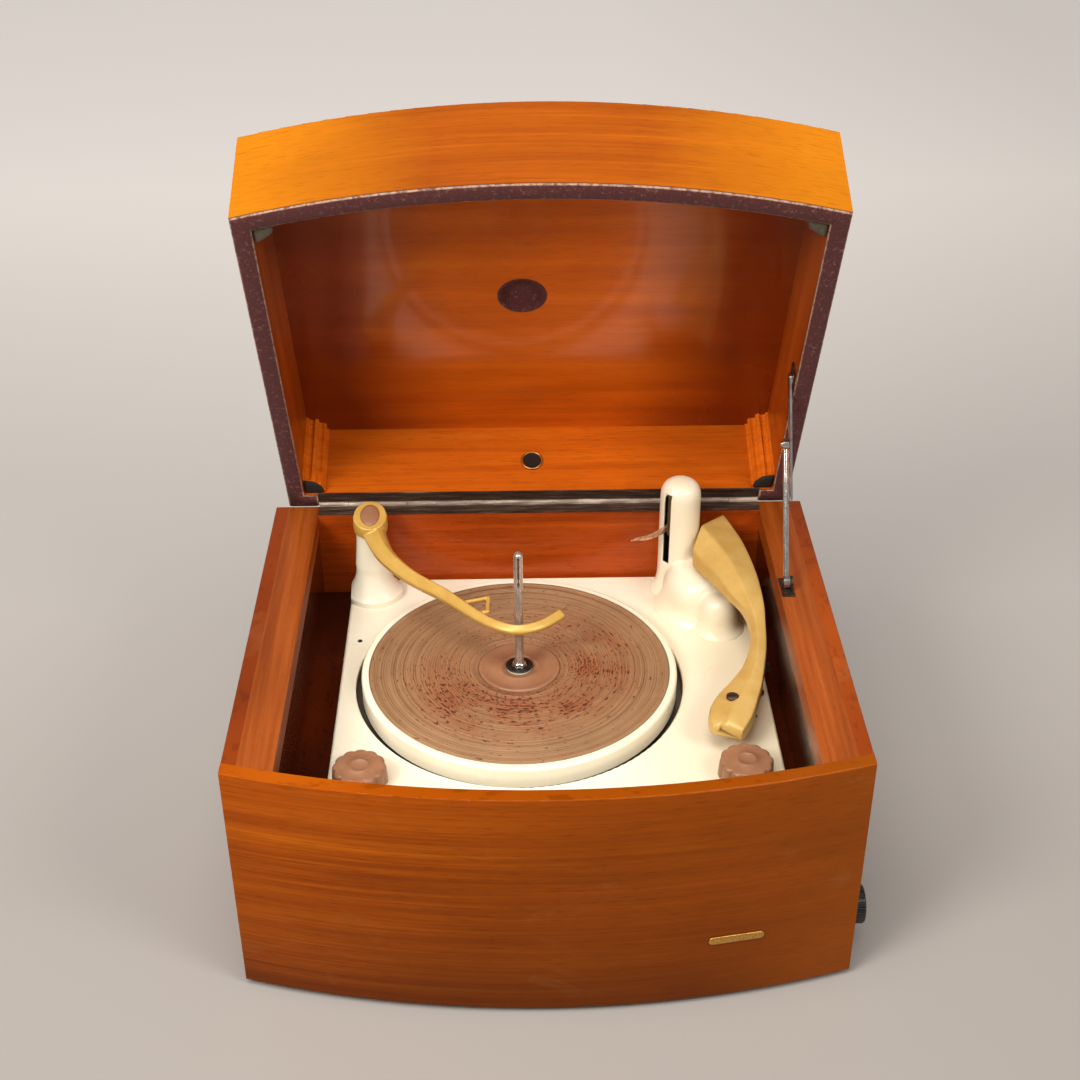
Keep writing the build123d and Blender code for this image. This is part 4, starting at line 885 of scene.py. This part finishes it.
flecked = maths(tree, "MULTIPLY", minus(tree, noise(tree, dash, 1.0, 2.0, 0.5), rarity), 26.0, clamp=True)
wire(tree, shader, Base_Color=mixed(tree, times(tree, flecked, 0.90), shade, colour(72, 26, 8)))
bump(tree, shader, maths(tree, "ADD", times(tree, groove, 0.4), times(tree, flecked, 0.7)), 0.0003, 0.6)

ridges, given, result = node_group("ridges", Count="Int", First="Float", Pitch="Float", Width="Float",
                                   Height="Float", Centre="Vector", Material="Material")
line = add(ridges, "GeometryNodeMeshLine", {"Count": given["Count"], "Offset": vector(ridges, given["Pitch"]),
                                            "Start Location": vector(ridges, given["First"])})
reach = axes(ridges, add(ridges, "GeometryNodeInputPosition").outputs[0])[0]
stored = add(ridges, "GeometryNodeCaptureAttribute", {"Geometry": line.outputs[0]})
stored.capture_items.new("VECTOR", "scale")
ridges.links.new(vector(ridges, reach, reach, 1.0), stored.inputs[1])
centred = add(ridges, "GeometryNodeSetPosition", {"Geometry": stored.outputs[0], "Position": given["Centre"]})
circle = add(ridges, "GeometryNodeCurvePrimitiveCircle", {"Resolution": 192, "Radius": 1.0})
around = add(ridges, "GeometryNodeInstanceOnPoints", {"Points": centred.outputs[0],
                                                      "Scale": stored.outputs[1],
                                                      "Instance": circle.outputs[0]})
curves = add(ridges, "GeometryNodeRealizeInstances", {"Geometry": around.outputs[0]})
bead = add(ridges, "GeometryNodeCurvePrimitiveCircle", {"Resolution": 8, "Radius": given["Width"]})
flat = maths(ridges, "DIVIDE", given["Height"], given["Width"])
squat = add(ridges, "GeometryNodeTransform", {"Geometry": bead.outputs[0],
                                              "Scale": vector(ridges, 1.0, flat, 1.0)})
tubes = add(ridges, "GeometryNodeCurveToMesh", {"Curve": curves.outputs[0],
                                                "Profile Curve": squat.outputs[0]})
joined = ridges.nodes.new("GeometryNodeJoinGeometry")
for shape in (given["Geometry"], tubes.outputs[0]):
    ridges.links.new(shape, joined.inputs[0])
smooth = add(ridges, "GeometryNodeSetShadeSmooth", {"Geometry": joined.outputs[0]})
give_out(ridges, smooth.outputs[0], given, result)

low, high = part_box("platter_mat")
top = high[2] - BROAD_RIDGE[1]
base = [(MAT_HOLE, low[2]), (MAT_RADIUS, low[2]), (MAT_RADIUS, top - 0.0006), (MAT_RADIUS - 0.0005, top),
        (MAT_HOLE + 0.0005, top), (MAT_HOLE, top - 0.0006), (MAT_HOLE, low[2])]
mat = lathe("platter_mat_rubber", base, upright(PLATTER_AT), rubber, 192)
first = MAT_HOLE + RIDGE_MARGINS[0]
pitch = (MAT_RADIUS - RIDGE_MARGINS[1] - first) / RIDGE_GAPS
fine = pitch / (FINE_PER_GAP + 1)
ridge_sets = ((RIDGE_GAPS + 1, first, pitch, *BROAD_RIDGE),
              (RIDGE_GAPS * (FINE_PER_GAP + 1), first + fine / 2, fine, *FINE_RIDGE))
for count, start, step, width, height in ridge_sets:
    grown(mat, ridges, Count=count, First=start, Pitch=step, Width=width, Height=height,
          Centre=(PLATTER_AT.x, PLATTER_AT.y, top), Material=rubber)
settle(mat, "platter", "brown_rubber", "platter_mat")


# Hub disc: a smooth brown moulding at the middle of the mat, its raised rim, a
# black ring round the bearing and a chromed boss at the foot of the spindle.
HUB_HOLE = 0.01052
HUB_FACE = 0.0024
COLLAR_RADII = (0.0063, 0.0108)
BOSS_RADII = (0.0036, 0.0058)

brown = mottled("brown_moulding", ((146, 100, 70), (164, 116, 84)), 60, 4, 0.6, rub=(0.34, 0.50),
                Coat_Weight=0.12, Coat_Roughness=0.15, Specular_IOR_Level=0.4)
low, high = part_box("hub_disc")
hub_z = low[2]
hub_radius = (high[0] - low[0]) / 2
face = hub_z + HUB_FACE
disc = [(HUB_HOLE, hub_z), (hub_radius, hub_z), (hub_radius, face + 0.0002),
        (hub_radius - 0.0010, face + 0.0008), (hub_radius - 0.0026, face + 0.0008),
        (hub_radius - 0.0036, face), (0.0165, face - 0.0001), (0.0160, face + 0.0004),
        (0.0150, face + 0.0004), (0.0146, face), (HUB_HOLE, face), (HUB_HOLE, hub_z)]
settle(lathe("hub_disc_moulding", disc, upright(PLATTER_AT), brown), "platter", "brown_plastic", "hub_disc")
inner, outer = COLLAR_RADII
low_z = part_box("platter")[1][2] + 0.0001
collar = [(inner, low_z), (outer, low_z), (outer, low_z + 0.0007), (outer - 0.0008, low_z + 0.0011),
          (inner + 0.0005, low_z + 0.0011), (inner, low_z + 0.0007), (inner, low_z)]
settle(lathe("hub_ring", collar, upright(PLATTER_AT), black, 64), "platter", "black_plastic")
inner, outer = BOSS_RADII
low_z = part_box("platter_bearing")[1][2]
boss = [(inner, low_z), (outer, low_z), (outer, low_z + 0.0010), (inner + 0.0010, low_z + 0.0026),
        (inner + 0.0004, low_z + 0.0030), (inner, low_z + 0.0030), (inner, low_z)]
settle(lathe("spindle_boss", boss, upright(PLATTER_AT), chrome, 48), "cabinet", "chrome")


# Knobs on the deck: lobed brown mouldings with a softly rounded top edge and a
# raised ring; the lobes come from a tree that pulls the rim in between them.
KNOBS = (("speed_knob", (-0.138, -0.113)), ("start_knob", (0.148, -0.112)))
KNOB_GAP = 0.001
KNOB_LOBES = 12
LOBE_DEPTH = 0.0022
KNOB_RING = 0.0066
KNOB_ROUND = 0.0027
KNOB_STEPS = 264

lobes, given, result = node_group("lobes", Lobes="Float", Depth="Float", Radius="Float", Centre="Vector",
                                  Material="Material")
place = add(lobes, "GeometryNodeInputPosition").outputs[0]
offset = add(lobes, "ShaderNodeVectorMath", {0: place, 1: given["Centre"]}, operation="SUBTRACT").outputs[0]
x, y, _ = axes(lobes, offset)
half_turn = times(lobes, maths(lobes, "ARCTAN2", y, x), given["Lobes"], 0.5)
lobe = maths(lobes, "POWER", maths(lobes, "ABSOLUTE", maths(lobes, "COSINE", half_turn)), 0.75)
flat_offset = vector(lobes, x, y)
reach = add(lobes, "ShaderNodeVectorMath", {0: flat_offset}, operation="LENGTH").outputs["Value"]
rimmed = maths(lobes, "POWER", maths(lobes, "DIVIDE", reach, given["Radius"]), 3.0)
pull = times(lobes, times(lobes, minus(lobes, 1.0, lobe), rimmed), times(lobes, given["Depth"], -1.0))
outward = add(lobes, "ShaderNodeVectorMath", {0: flat_offset}, operation="NORMALIZE").outputs[0]
moved = add(lobes, "ShaderNodeVectorMath", {0: outward, "Scale": pull}, operation="SCALE").outputs[0]
shaped = add(lobes, "GeometryNodeSetPosition", {"Geometry": given["Geometry"], "Offset": moved})
give_out(lobes, shaped.outputs[0], given, result)

for node, at in KNOBS:
    low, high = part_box(node)
    radius = (high[0] - low[0]) / 2
    bottom, crown = deck_top + KNOB_GAP, high[2] - 0.0006
    profile = [(0, bottom + 0.001), (radius - 0.003, bottom + 0.001), (radius - 0.003, bottom),
               (radius - 0.0004, bottom), (radius, bottom + 0.0008), (radius - 0.0002, bottom + 0.006),
               (radius - 0.0006, crown - 0.0030)]
    profile += [(radius - 0.0033 + KNOB_ROUND * math.cos(a), crown - KNOB_ROUND + KNOB_ROUND * math.sin(a))
                for a in (k * math.pi / 12 for k in range(1, 7))]
    profile += [(radius - 0.0052, crown), (KNOB_RING + 0.0010, crown), (KNOB_RING + 0.0006, crown + 0.0005),
                (KNOB_RING, crown + 0.0005), (KNOB_RING - 0.0004, crown), (0, crown - 0.0002)]
    knob = lathe(f"{node}_moulding", profile, upright(at), brown, KNOB_STEPS)
    grown(knob, lobes, Lobes=float(KNOB_LOBES), Depth=LOBE_DEPTH, Radius=radius, Centre=(*at, 0),
          Material=brown)
    settle(knob, node, "brown_plastic", node)


# Record-holding arm: a satin mustard moulding that swings over the records from
# the tall cream post, swan-necked, with a sloping brown cap on its pivot, a hook
# round the spindle at its tip and an open finger tab.
MM = 0.001
OVERARM_AT = (-0.143, 0.135)
OVERARM_ROUTE = (
    (-143.0, 137.0, 71.0, 21.0, 12.0),
    (-138.5, 122.0, 68.5, 19.0, 12.0),
    (-128.0, 100.0, 62.5, 15.6, 11.5),
    (-106.5, 74.0, 58.5, 13.0, 10.5),
    (-77.0, 47.5, 57.0, 10.8, 9.5),
    (-51.0, 19.5, 56.0, 9.0, 8.0),
    (-35.0, 6.0, 56.0, 8.4, 7.4),
    (-19.5, 0.5, 56.0, 8.2, 7.2),
    (-3.0, 5.5, 56.0, 8.4, 7.2),
    (10.5, 17.0, 56.0, 8.8, 7.2),
    (14.5, 22.5, 56.0, 9.4, 7.2),
)
OVERARM_SECTION = ((-0.50, -0.10), (-0.42, -0.50), (0.42, -0.50), (0.50, -0.05), (0.34, 0.28), (0.10, 0.50),
                   (-0.34, 0.16))
TAB_WIRE = 0.0018
TAB_HEIGHT = 0.0562
TAB_POINTS = ((-0.0640, 0.0375), (-0.0430, 0.0440), (-0.0435, 0.0245), (-0.0520, 0.0225))
HUB_BASE = 0.0663
HUB_TILT = math.tan(math.radians(22))
SHAFT_BORE = (0.00405, 0.0103)
POST_BORE = (0.0132, 0.040)
CAP_RADII = (0.0082, 0.0112)

satin_moulding = {"scale": 70, "detail": 4, "rough": 0.6, "rub": (0.32, 0.46), "relief": (0.00005, 0.5),
                  "fine": (900, 3), "Coat_Weight": 0.18, "Coat_Roughness": 0.2}
mustard = mottled("mustard_moulding", ((208, 161, 73), (220, 175, 87)), Metallic=0.18, **satin_moulding)


def eased(stations, steps):
    """Catmull-Rom steps between given stations, all their columns alike."""
    rows = []
    last = len(stations) - 1
    for k in range(last):
        near = [stations[min(max(k + j, 0), last)] for j in (-1, 0, 1, 2)]
        for step in range(steps):
            t = step / steps
            rows.append([0.5 * (2 * q + (r - p) * t + (2 * p - 5 * q + 4 * r - s) * t * t
                                + (3 * q - p - 3 * r + s) * t**3) for p, q, r, s in zip(*near)])
    rows.append(list(stations[-1]))
    return rows


def heading(rows, k):
    """Level direction of a route at one of its rows."""
    a, b = rows[max(k - 1, 0)], rows[min(k + 1, len(rows) - 1)]
    return Vector((b[0] - a[0], b[1] - a[1], 0)).normalized()


def fused(name, parts, voxel, rounds, material):
    """Melt closed parts into one skin and soften where they meet."""
    work = bmesh.new()
    for part in parts:
        work.from_mesh(part.data)
        bpy.data.objects.remove(part)
    mesh = bpy.data.meshes.new(name)
    work.to_mesh(mesh)
    work.free()
    made = new_object(name, mesh)
    melt = made.modifiers.new("melt", "REMESH")
    melt.mode = "VOXEL"
    melt.voxel_size = voxel
    soften = made.modifiers.new("soften", "SMOOTH")
    soften.factor = 0.5
    soften.iterations = rounds
    mesh = baked(made).data
    mesh.polygons.foreach_set("use_smooth", [True] * len(mesh.polygons))
    mesh.materials.clear()
    mesh.materials.append(material)
    return made


rows = eased(OVERARM_ROUTE, 8)
rings = []
for k, (x, y, over_deck, width, thick) in enumerate(rows):
    way = heading(rows, k)
    across = Vector((-way.y, way.x, 0))
    centre = Vector((x, y, 0)) * MM + Vector((0, 0, deck_top + over_deck * MM))
    shrink = min(1.0, 0.5 + 0.5 * math.sqrt(min(1.0, (len(rows) - 1 - k) / 3)))
    rings.append([centre + across * (side * width * MM * shrink) + Vector((0, 0, up * thick * MM * shrink))
                  for side, up in OVERARM_SECTION])
arm = skin("overarm_bar", rings)
hub_base = deck_top + HUB_BASE
profile = [(0, hub_base - 0.0016), (0.0140, hub_base - 0.0016), (0.0146, hub_base + 0.004),
           (0.0143, hub_base + 0.012), (0.0136, hub_base + 0.024), (0, hub_base + 0.024)]
hub = lathe("overarm_hub", profile, upright(OVERARM_AT), steps=64)
for vertex in hub.data.vertices:
    slope_top = hub_base + 0.0135 + (vertex.co.y - OVERARM_AT[1]) * HUB_TILT
    vertex.co.z = min(vertex.co.z, slope_top)
tab = [Vector((x, y, deck_top + TAB_HEIGHT)) for x, y in TAB_POINTS]
struts = []
for k, (a, b) in enumerate(zip(tab, tab[1:])):
    way = (b - a).normalized()
    across = Vector((-way.y, way.x, 0))
    ends = (a - way * 0.0006, b + way * 0.0006)
    rings = [[p + across * (TAB_WIRE * math.cos(t)) + Vector((0, 0, TAB_WIRE * math.sin(t)))
              for t in round_turn(12)] for p in ends]
    struts.append(skin(f"overarm_tab_{k}", rings))
overarm = fused("overarm_moulding", [arm, hub] + struts, 0.0006, 4, mustard)
post_radius, post_low = POST_BORE
shaft_radius, shaft_top = SHAFT_BORE
bore = [(0, deck_top + post_low), (post_radius, deck_top + post_low), (post_radius, hub_base),
        (shaft_radius, hub_base), (shaft_radius, hub_base + shaft_top), (0, hub_base + shaft_top)]
cut_away(overarm, lathe("overarm_bore", bore, upright(OVERARM_AT), steps=64))
settle(overarm, "overarm", "mustard", "overarm")

tilt = (Matrix.Translation((OVERARM_AT[0], OVERARM_AT[1] - 0.0004, hub_base + 0.0133))
        @ Matrix.Rotation(math.atan(HUB_TILT), 4, "X") @ Matrix.Diagonal((*CAP_RADII, 1, 1)))
cap = [(0, -0.0020), (1.0, -0.0020), (1.0, 0.0004), (0.95, 0.0008), (0.5, 0.0012), (0, 0.0013)]
settle(lathe("overarm_cap", cap, tilt, brown, 64), "overarm", "brown_plastic")


# Arm pedestal: one cream moulding, a round tower with a domed top standing in a
# soft mound, a second bulge beside it under the tone arm, all flowing into the
# deck; it is hollow, and cut by the feeler's tall slot and the arm's bore.
TOWER_AT = (0.1185, 0.1375)
TOWER_BORE = 0.0146
TOWER_RADIUS = 0.0173
TOWER_HEIGHT = 0.109
TOWER_DOME = 0.014
TOWER_FOOT = 0.020
SLOT_WAY = math.radians(224)
SLOT_WIDTH = 0.0076
SLOT_DEPTHS = (0.006, 0.030)
SLOT_LOW, SLOT_HIGH = 0.034, 0.101
MOUND_AT = (0.1375, 0.1120)
BULGE_AT = (0.1480, 0.0790)
ARM_AT = (0.148, 0.113)
ARM_BORE = (0.0041, 0.014, 0.060)
DECK_RIGHT = 0.178
DECK_BACK = 0.1564

# Painted shade: the moulding is painted dark inside the tower's hollow, up to near its top.
cream = shaded_inside("cream_moulding", (*TOWER_AT, deck_top), (TOWER_BORE + 0.0004, TOWER_BORE + 0.0012),
                    (TOWER_HEIGHT - 0.012, TOWER_HEIGHT - 0.011), 1.0, (70, 52, 36))


def dome(name, at, radius, height, flare):
    """Closed mound: a rounded top that runs out into the deck with a soft foot."""
    foot = deck_top + 0.0004
    low = foot + height * 0.42
    profile = [(0, deck_top), (radius + flare, deck_top), (radius + flare, foot)]
    profile += [(radius + flare * (1 - t) ** 2, foot + height * 0.42 * t**1.6)
                for t in (k / 8 for k in range(1, 9))]
    profile += [(radius * math.cos(a) ** 0.55, low + (deck_top + height - low) * math.sin(a))
                for a in (t * math.pi / 20 for t in range(1, 10))]
    profile += [(0, deck_top + height)]
    return lathe(name, profile, upright(at))


mound = dome("mound", MOUND_AT, 0.0335, 0.0400, 0.008)
bulge = dome("bulge", BULGE_AT, 0.0165, 0.0320, 0.007)
top = deck_top + TOWER_HEIGHT
shaft_top, neck = top - TOWER_DOME, TOWER_RADIUS - 0.0002
tower = [(0, deck_top), (TOWER_RADIUS + 0.006, deck_top), (TOWER_RADIUS + 0.005, deck_top + 0.0010)]
tower += [(TOWER_RADIUS + 0.0045 * (1 - t) ** 2.2, deck_top + 0.0010 + TOWER_FOOT * t)
          for t in (k / 8 for k in range(1, 9))]
tower += [(neck, shaft_top)]
tower += [(neck * math.cos(a) ** 0.62, shaft_top + TOWER_DOME * math.sin(a))
          for a in (t * math.pi / 20 for t in range(1, 10))]
tower += [(0, top)]
column = lathe("tower", tower, upright(TOWER_AT))
pedestal = fused("arm_pedestal_moulding", [mound, bulge, column], 0.0011, 22, cream)
cut_away(pedestal, brick("trim_right", (DECK_RIGHT, -1, 0), (1, 1, 1)))
cut_away(pedestal, brick("trim_back", (-1, DECK_BACK, 0), (1, 1, 1)))
cut_away(pedestal, brick("trim_low", (-1, -1, 0), (1, 1, deck_top)))
core = [(0, deck_top + 0.003), (TOWER_BORE, deck_top + 0.003), (TOWER_BORE, shaft_top),
        (0, shaft_top + 0.0015)]
cut_away(pedestal, lathe("tower_core", core, upright(TOWER_AT), steps=64))
in_tower = upright(TOWER_AT, deck_top) @ Matrix.Rotation(SLOT_WAY, 4, "Z")
cut_away(pedestal, brick("tower_slot", (SLOT_DEPTHS[0], -SLOT_WIDTH / 2, SLOT_LOW),
                         (SLOT_DEPTHS[1], SLOT_WIDTH / 2, SLOT_HIGH), in_tower))
radius, low, high = ARM_BORE
bore = [(0, deck_top + low), (radius, deck_top + low), (radius, deck_top + high), (0, deck_top + high)]
cut_away(pedestal, lathe("arm_bore", bore, upright(ARM_AT), steps=32))
settle(pedestal, "cabinet", "cream_moulding", "arm_pedestal")


# Size feeler: a curved blade of copper-toned plated steel that sticks out of the
# tower's slot, with an aged brass strip standing in the slot behind it.
FEELER_WAY = math.radians(218)
FEELER_HEIGHT = 0.068
FEELER_REACH = 0.0550
FEELER_STEPS = 32
PIN_RADIUS = 0.0014
PIN_HALF = 0.0158
STRIP_AT = 0.0128
STRIP_SECTION = ((-0.0004, -0.0026), (0.0004, -0.0026), (0.0008, -0.0012), (0.0008, 0.0012), (0.0004, 0.0026),
                 (-0.0004, 0.0026))
STRIP_HEIGHTS = (SLOT_LOW + 0.026, SLOT_LOW + 0.040, SLOT_HIGH - 0.004, SLOT_HIGH + 0.001)

copper = mottled("copper_plate", ((190, 138, 112), (232, 196, 174)), 260, 4, 0.6, rub=(0.20, 0.40),
                 Metallic=0.85)
brass = mottled("aged_brass", ((70, 60, 36), (142, 124, 82)), 300, 5, 0.7, rub=(0.35, 0.6), Metallic=0.8)
in_slot = upright(TOWER_AT, deck_top + FEELER_HEIGHT) @ Matrix.Rotation(FEELER_WAY, 4, "Z")
rings = []
for t in (k / FEELER_STEPS for k in range(FEELER_STEPS + 1)):
    lift = 0.0006 - 0.0060 * math.sin(math.pi * min(1.0, t * 1.15)) * t + 0.0022 * t**3
    depth = 0.0040 * (1 - t) ** 0.6 + 0.0004
    half_thick = 0.00085 * (1 - 0.55 * t)
    rings.append([in_slot @ Vector((FEELER_REACH * t, half_thick * math.cos(a), lift + depth * math.sin(a)))
                  for a in round_turn(16)])
settle(skin("feeler_blade", rings, copper), "feeler", "chrome", "feeler_lever")
across_slot = in_slot @ Matrix.Rotation(math.pi / 2, 4, "X")
pin = [(0, -PIN_HALF), (PIN_RADIUS, -PIN_HALF), (PIN_RADIUS, PIN_HALF), (0, PIN_HALF)]
settle(lathe("feeler_pin", pin, across_slot, steel, 24), "feeler", "chrome")
rings = [[in_tower @ Vector((STRIP_AT + x, y, z)) for x, y in STRIP_SECTION] for z in STRIP_HEIGHTS]
settle(skin("slot_strip", rings, brass, smooth=False), "cabinet", "aged_steel")


# Tone arm: a faceted mustard moulding, hollow from below, with softened ridges
# that run from the broad tail to the slim neck and out into a two-lobed head,
# which holds a sunk dark screw.
SHELL_LINES = (
    (127.6, 104.5, 45.0, 128.0, 112.3, 55.5, 136.8, 132.8, 67.0, 158.5, 154.5, 64.0, 159.2, 154.0, 53.0),
    (131.0, 96.0, 44.5, 132.6, 99.5, 55.2, 142.0, 118.5, 66.8, 163.5, 140.5, 62.6, 164.5, 139.5, 49.0),
    (138.4, 82.5, 44.0, 142.4, 80.5, 54.0, 151.0, 97.0, 65.0, 171.0, 113.0, 60.5, 172.6, 111.5, 44.0),
    (149.2, 60.5, 43.5, 152.5, 56.5, 50.5, 160.5, 68.0, 59.5, 177.2, 75.0, 55.5, 178.6, 74.0, 41.0),
    (161.5, 41.0, 39.0, 162.5, 38.0, 46.0, 167.4, 39.0, 51.5, 178.9, 42.0, 50.0, 179.8, 42.0, 36.5),
    (165.6, 22.0, 34.0, 165.6, 21.5, 41.5, 169.6, 20.5, 46.5, 177.6, 20.0, 45.0, 178.6, 20.0, 33.0),
    (163.0, 2.5, 31.0, 163.4, 1.5, 38.0, 168.6, 0.0, 43.5, 175.6, -2.5, 41.5, 176.2, -3.0, 30.0),
    (155.5, -19.5, 28.5, 156.0, -20.0, 34.5, 165.2, -22.5, 40.5, 171.4, -25.5, 38.0, 171.8, -26.0, 28.0),
    (143.5, -36.0, 25.0, 144.0, -36.5, 30.5, 158.0, -41.5, 37.0, 167.0, -44.5, 34.5, 167.3, -45.0, 24.5),
    (133.0, -48.0, 22.0, 133.6, -48.5, 28.0, 151.0, -54.5, 35.0, 162.5, -58.5, 32.0, 162.8, -59.0, 21.5),
    (125.3, -62.0, 19.5, 126.0, -62.5, 26.5, 143.0, -69.0, 33.3, 157.0, -74.5, 30.0, 157.3, -75.0, 19.0),
    (123.3, -73.5, 18.5, 124.0, -74.0, 25.5, 138.5, -79.5, 31.8, 151.8, -84.5, 28.5, 152.1, -85.0, 18.3),
    (124.2, -81.5, 18.0, 125.2, -81.5, 24.0, 136.0, -86.0, 29.5, 147.5, -90.8, 26.5, 148.0, -91.2, 18.0),
    (125.5, -84.5, 18.0, 126.2, -84.6, 20.5, 135.8, -88.6, 25.0, 145.8, -92.6, 22.5, 146.4, -92.8, 18.0),
)
SHELL_WALL = 0.0018
SECTION_STEPS = 60
LINE_STEPS = 8
GROOVE_SHARE = 0.30
GROOVE_DEPTH = 0.0035
GROOVE_WIDTH = 0.0014
HEAD_SCREW = Vector((0.1428, -0.0585, deck_top + 0.0345))

pale_mustard = mottled("pale_mustard_moulding", ((204, 162, 82), (218, 180, 104)), Metallic=0.15,
                       **satin_moulding)
rows = eased(SHELL_LINES, LINE_STEPS)
count = len(rows)


def shell_section(k, inset):
    """Points of the shell's open section from its left foot over the ridges to its right foot."""
    row = rows[k]
    corners = [Vector((row[j] * MM, row[j + 1] * MM, deck_top + row[j + 2] * MM)) for j in range(0, 15, 3)]
    reaches = [0.0]
    for a, b in zip(corners, corners[1:]):
        reaches.append(reaches[-1] + (b - a).length)
    spaced = []
    for step in range(SECTION_STEPS + 1):
        want = reaches[-1] * step / SECTION_STEPS
        j = max(i for i in range(4) if reaches[i] <= want + 1e-9)
        spaced.append(corners[j].lerp(corners[j + 1], (want - reaches[j]) / (reaches[j + 1] - reaches[j])))
    for _ in range(2):
        inner = [(a + b * 2 + c) / 4 for a, b, c in zip(spaced, spaced[1:], spaced[2:])]
        spaced = [spaced[0]] + inner + [spaced[-1]]
    nose = max(0.0, 1 - (count - 1 - k) / (1.6 * LINE_STEPS))
    groove = corners[0].lerp(corners[4], GROOVE_SHARE)
    width = (corners[4] - corners[0]).length
    middle = (corners[0] + corners[4]) / 2
    placed = []
    for p in spaced:
        share = (p - groove).dot(corners[4] - corners[0]) / width**2
        dent = GROOVE_DEPTH * nose**2 * math.exp(-((share * width / GROOVE_WIDTH) ** 2))
        p = p + Vector((0, 1, -0.5)) * dent * (1 if p.z - middle.z > 0.002 else 0)
        placed.append(p + (middle - p).normalized() * inset)
    return placed


first, last = LINE_STEPS - 2, count - 2 * LINE_STEPS
wide = SECTION_STEPS + 1
inside = count * wide
points = [p for k in range(count) for p in shell_section(k, 0.0)]
points += [p for k in range(first, last + 1) for p in shell_section(k, SHELL_WALL)]


def feet(k):
    """The outer feet of a section and of the next, round from the left one."""
    return k * wide, (k + 1) * wide, (k + 1) * wide + wide - 1, k * wide + wide - 1


faces = []
for k in range(count - 1):
    for j in range(wide - 1):
        a = k * wide + j
        faces.append((a, a + 1, a + wide + 1, a + wide))
for k in range(last - first):
    for j in range(wide - 1):
        a = inside + k * wide + j
        faces.append((a, a + wide, a + wide + 1, a + 1))
for k in range(first, last):
    i = inside + (k - first) * wide
    left, next_left, next_right, right = feet(k)
    faces.append((left, next_left, i + wide, i))
    faces.append((right, i + wide - 1, i + 2 * wide - 1, next_right))
end = inside + (last - first) * wide
faces.append(tuple(range(inside, inside + wide)))
faces.append(tuple(range(end + wide - 1, end - 1, -1)))
for k in list(range(first - 1)) + list(range(last + 1, count - 1)):
    faces.append(feet(k))
left, next_left, next_right, right = feet(first - 1)
faces.append((left, next_left, inside, inside + wide - 1, next_right, right))
faces.append(feet(last) + (end + wide - 1, end))
faces.append(tuple(range(wide)))
faces.append(tuple(range(count * wide - 1, (count - 1) * wide - 1, -1)))
shell = new_piece("tonearm_moulding", points, faces, pale_mustard)
recess = [(0, -0.0030), (0.0050, -0.0030), (0.0053, 0.0060), (0, 0.0060)]
cut_away(shell, lathe("screw_recess", recess, Matrix.Translation(HEAD_SCREW), steps=32))
settle(shell, "tonearm", "mustard", "tonearm_shell")
sunk = [(0, -0.0029), (0.0048, -0.0029), (0.0048, -0.0012), (0.0040, -0.0006), (0.0006, -0.0005),
        (0, -0.0005)]
settle(lathe("tonearm_screw", sunk, Matrix.Translation(HEAD_SCREW), aged, 32), "tonearm", "aged_steel")


# Remaining black mouldings and glass: side knobs, inlet, cartridge, arm rest,
# rubber mounts and idler, and the amplifier's parts behind the back cover.
dress(black, "volume_knob", "tone_knob", "mains_inlet", "cartridge", "arm_rest", "deck_mounts", "idler_wheel",
      "transformers", "smoothing_capacitor")
bulb = mottled("valve_glass", ((196, 200, 196), (120, 122, 120)), 60, 2, at=(0.4, 0.7), Roughness=0.05,
               Transmission_Weight=0.85, IOR=1.45)
dress(bulb, "amplifier_valves")
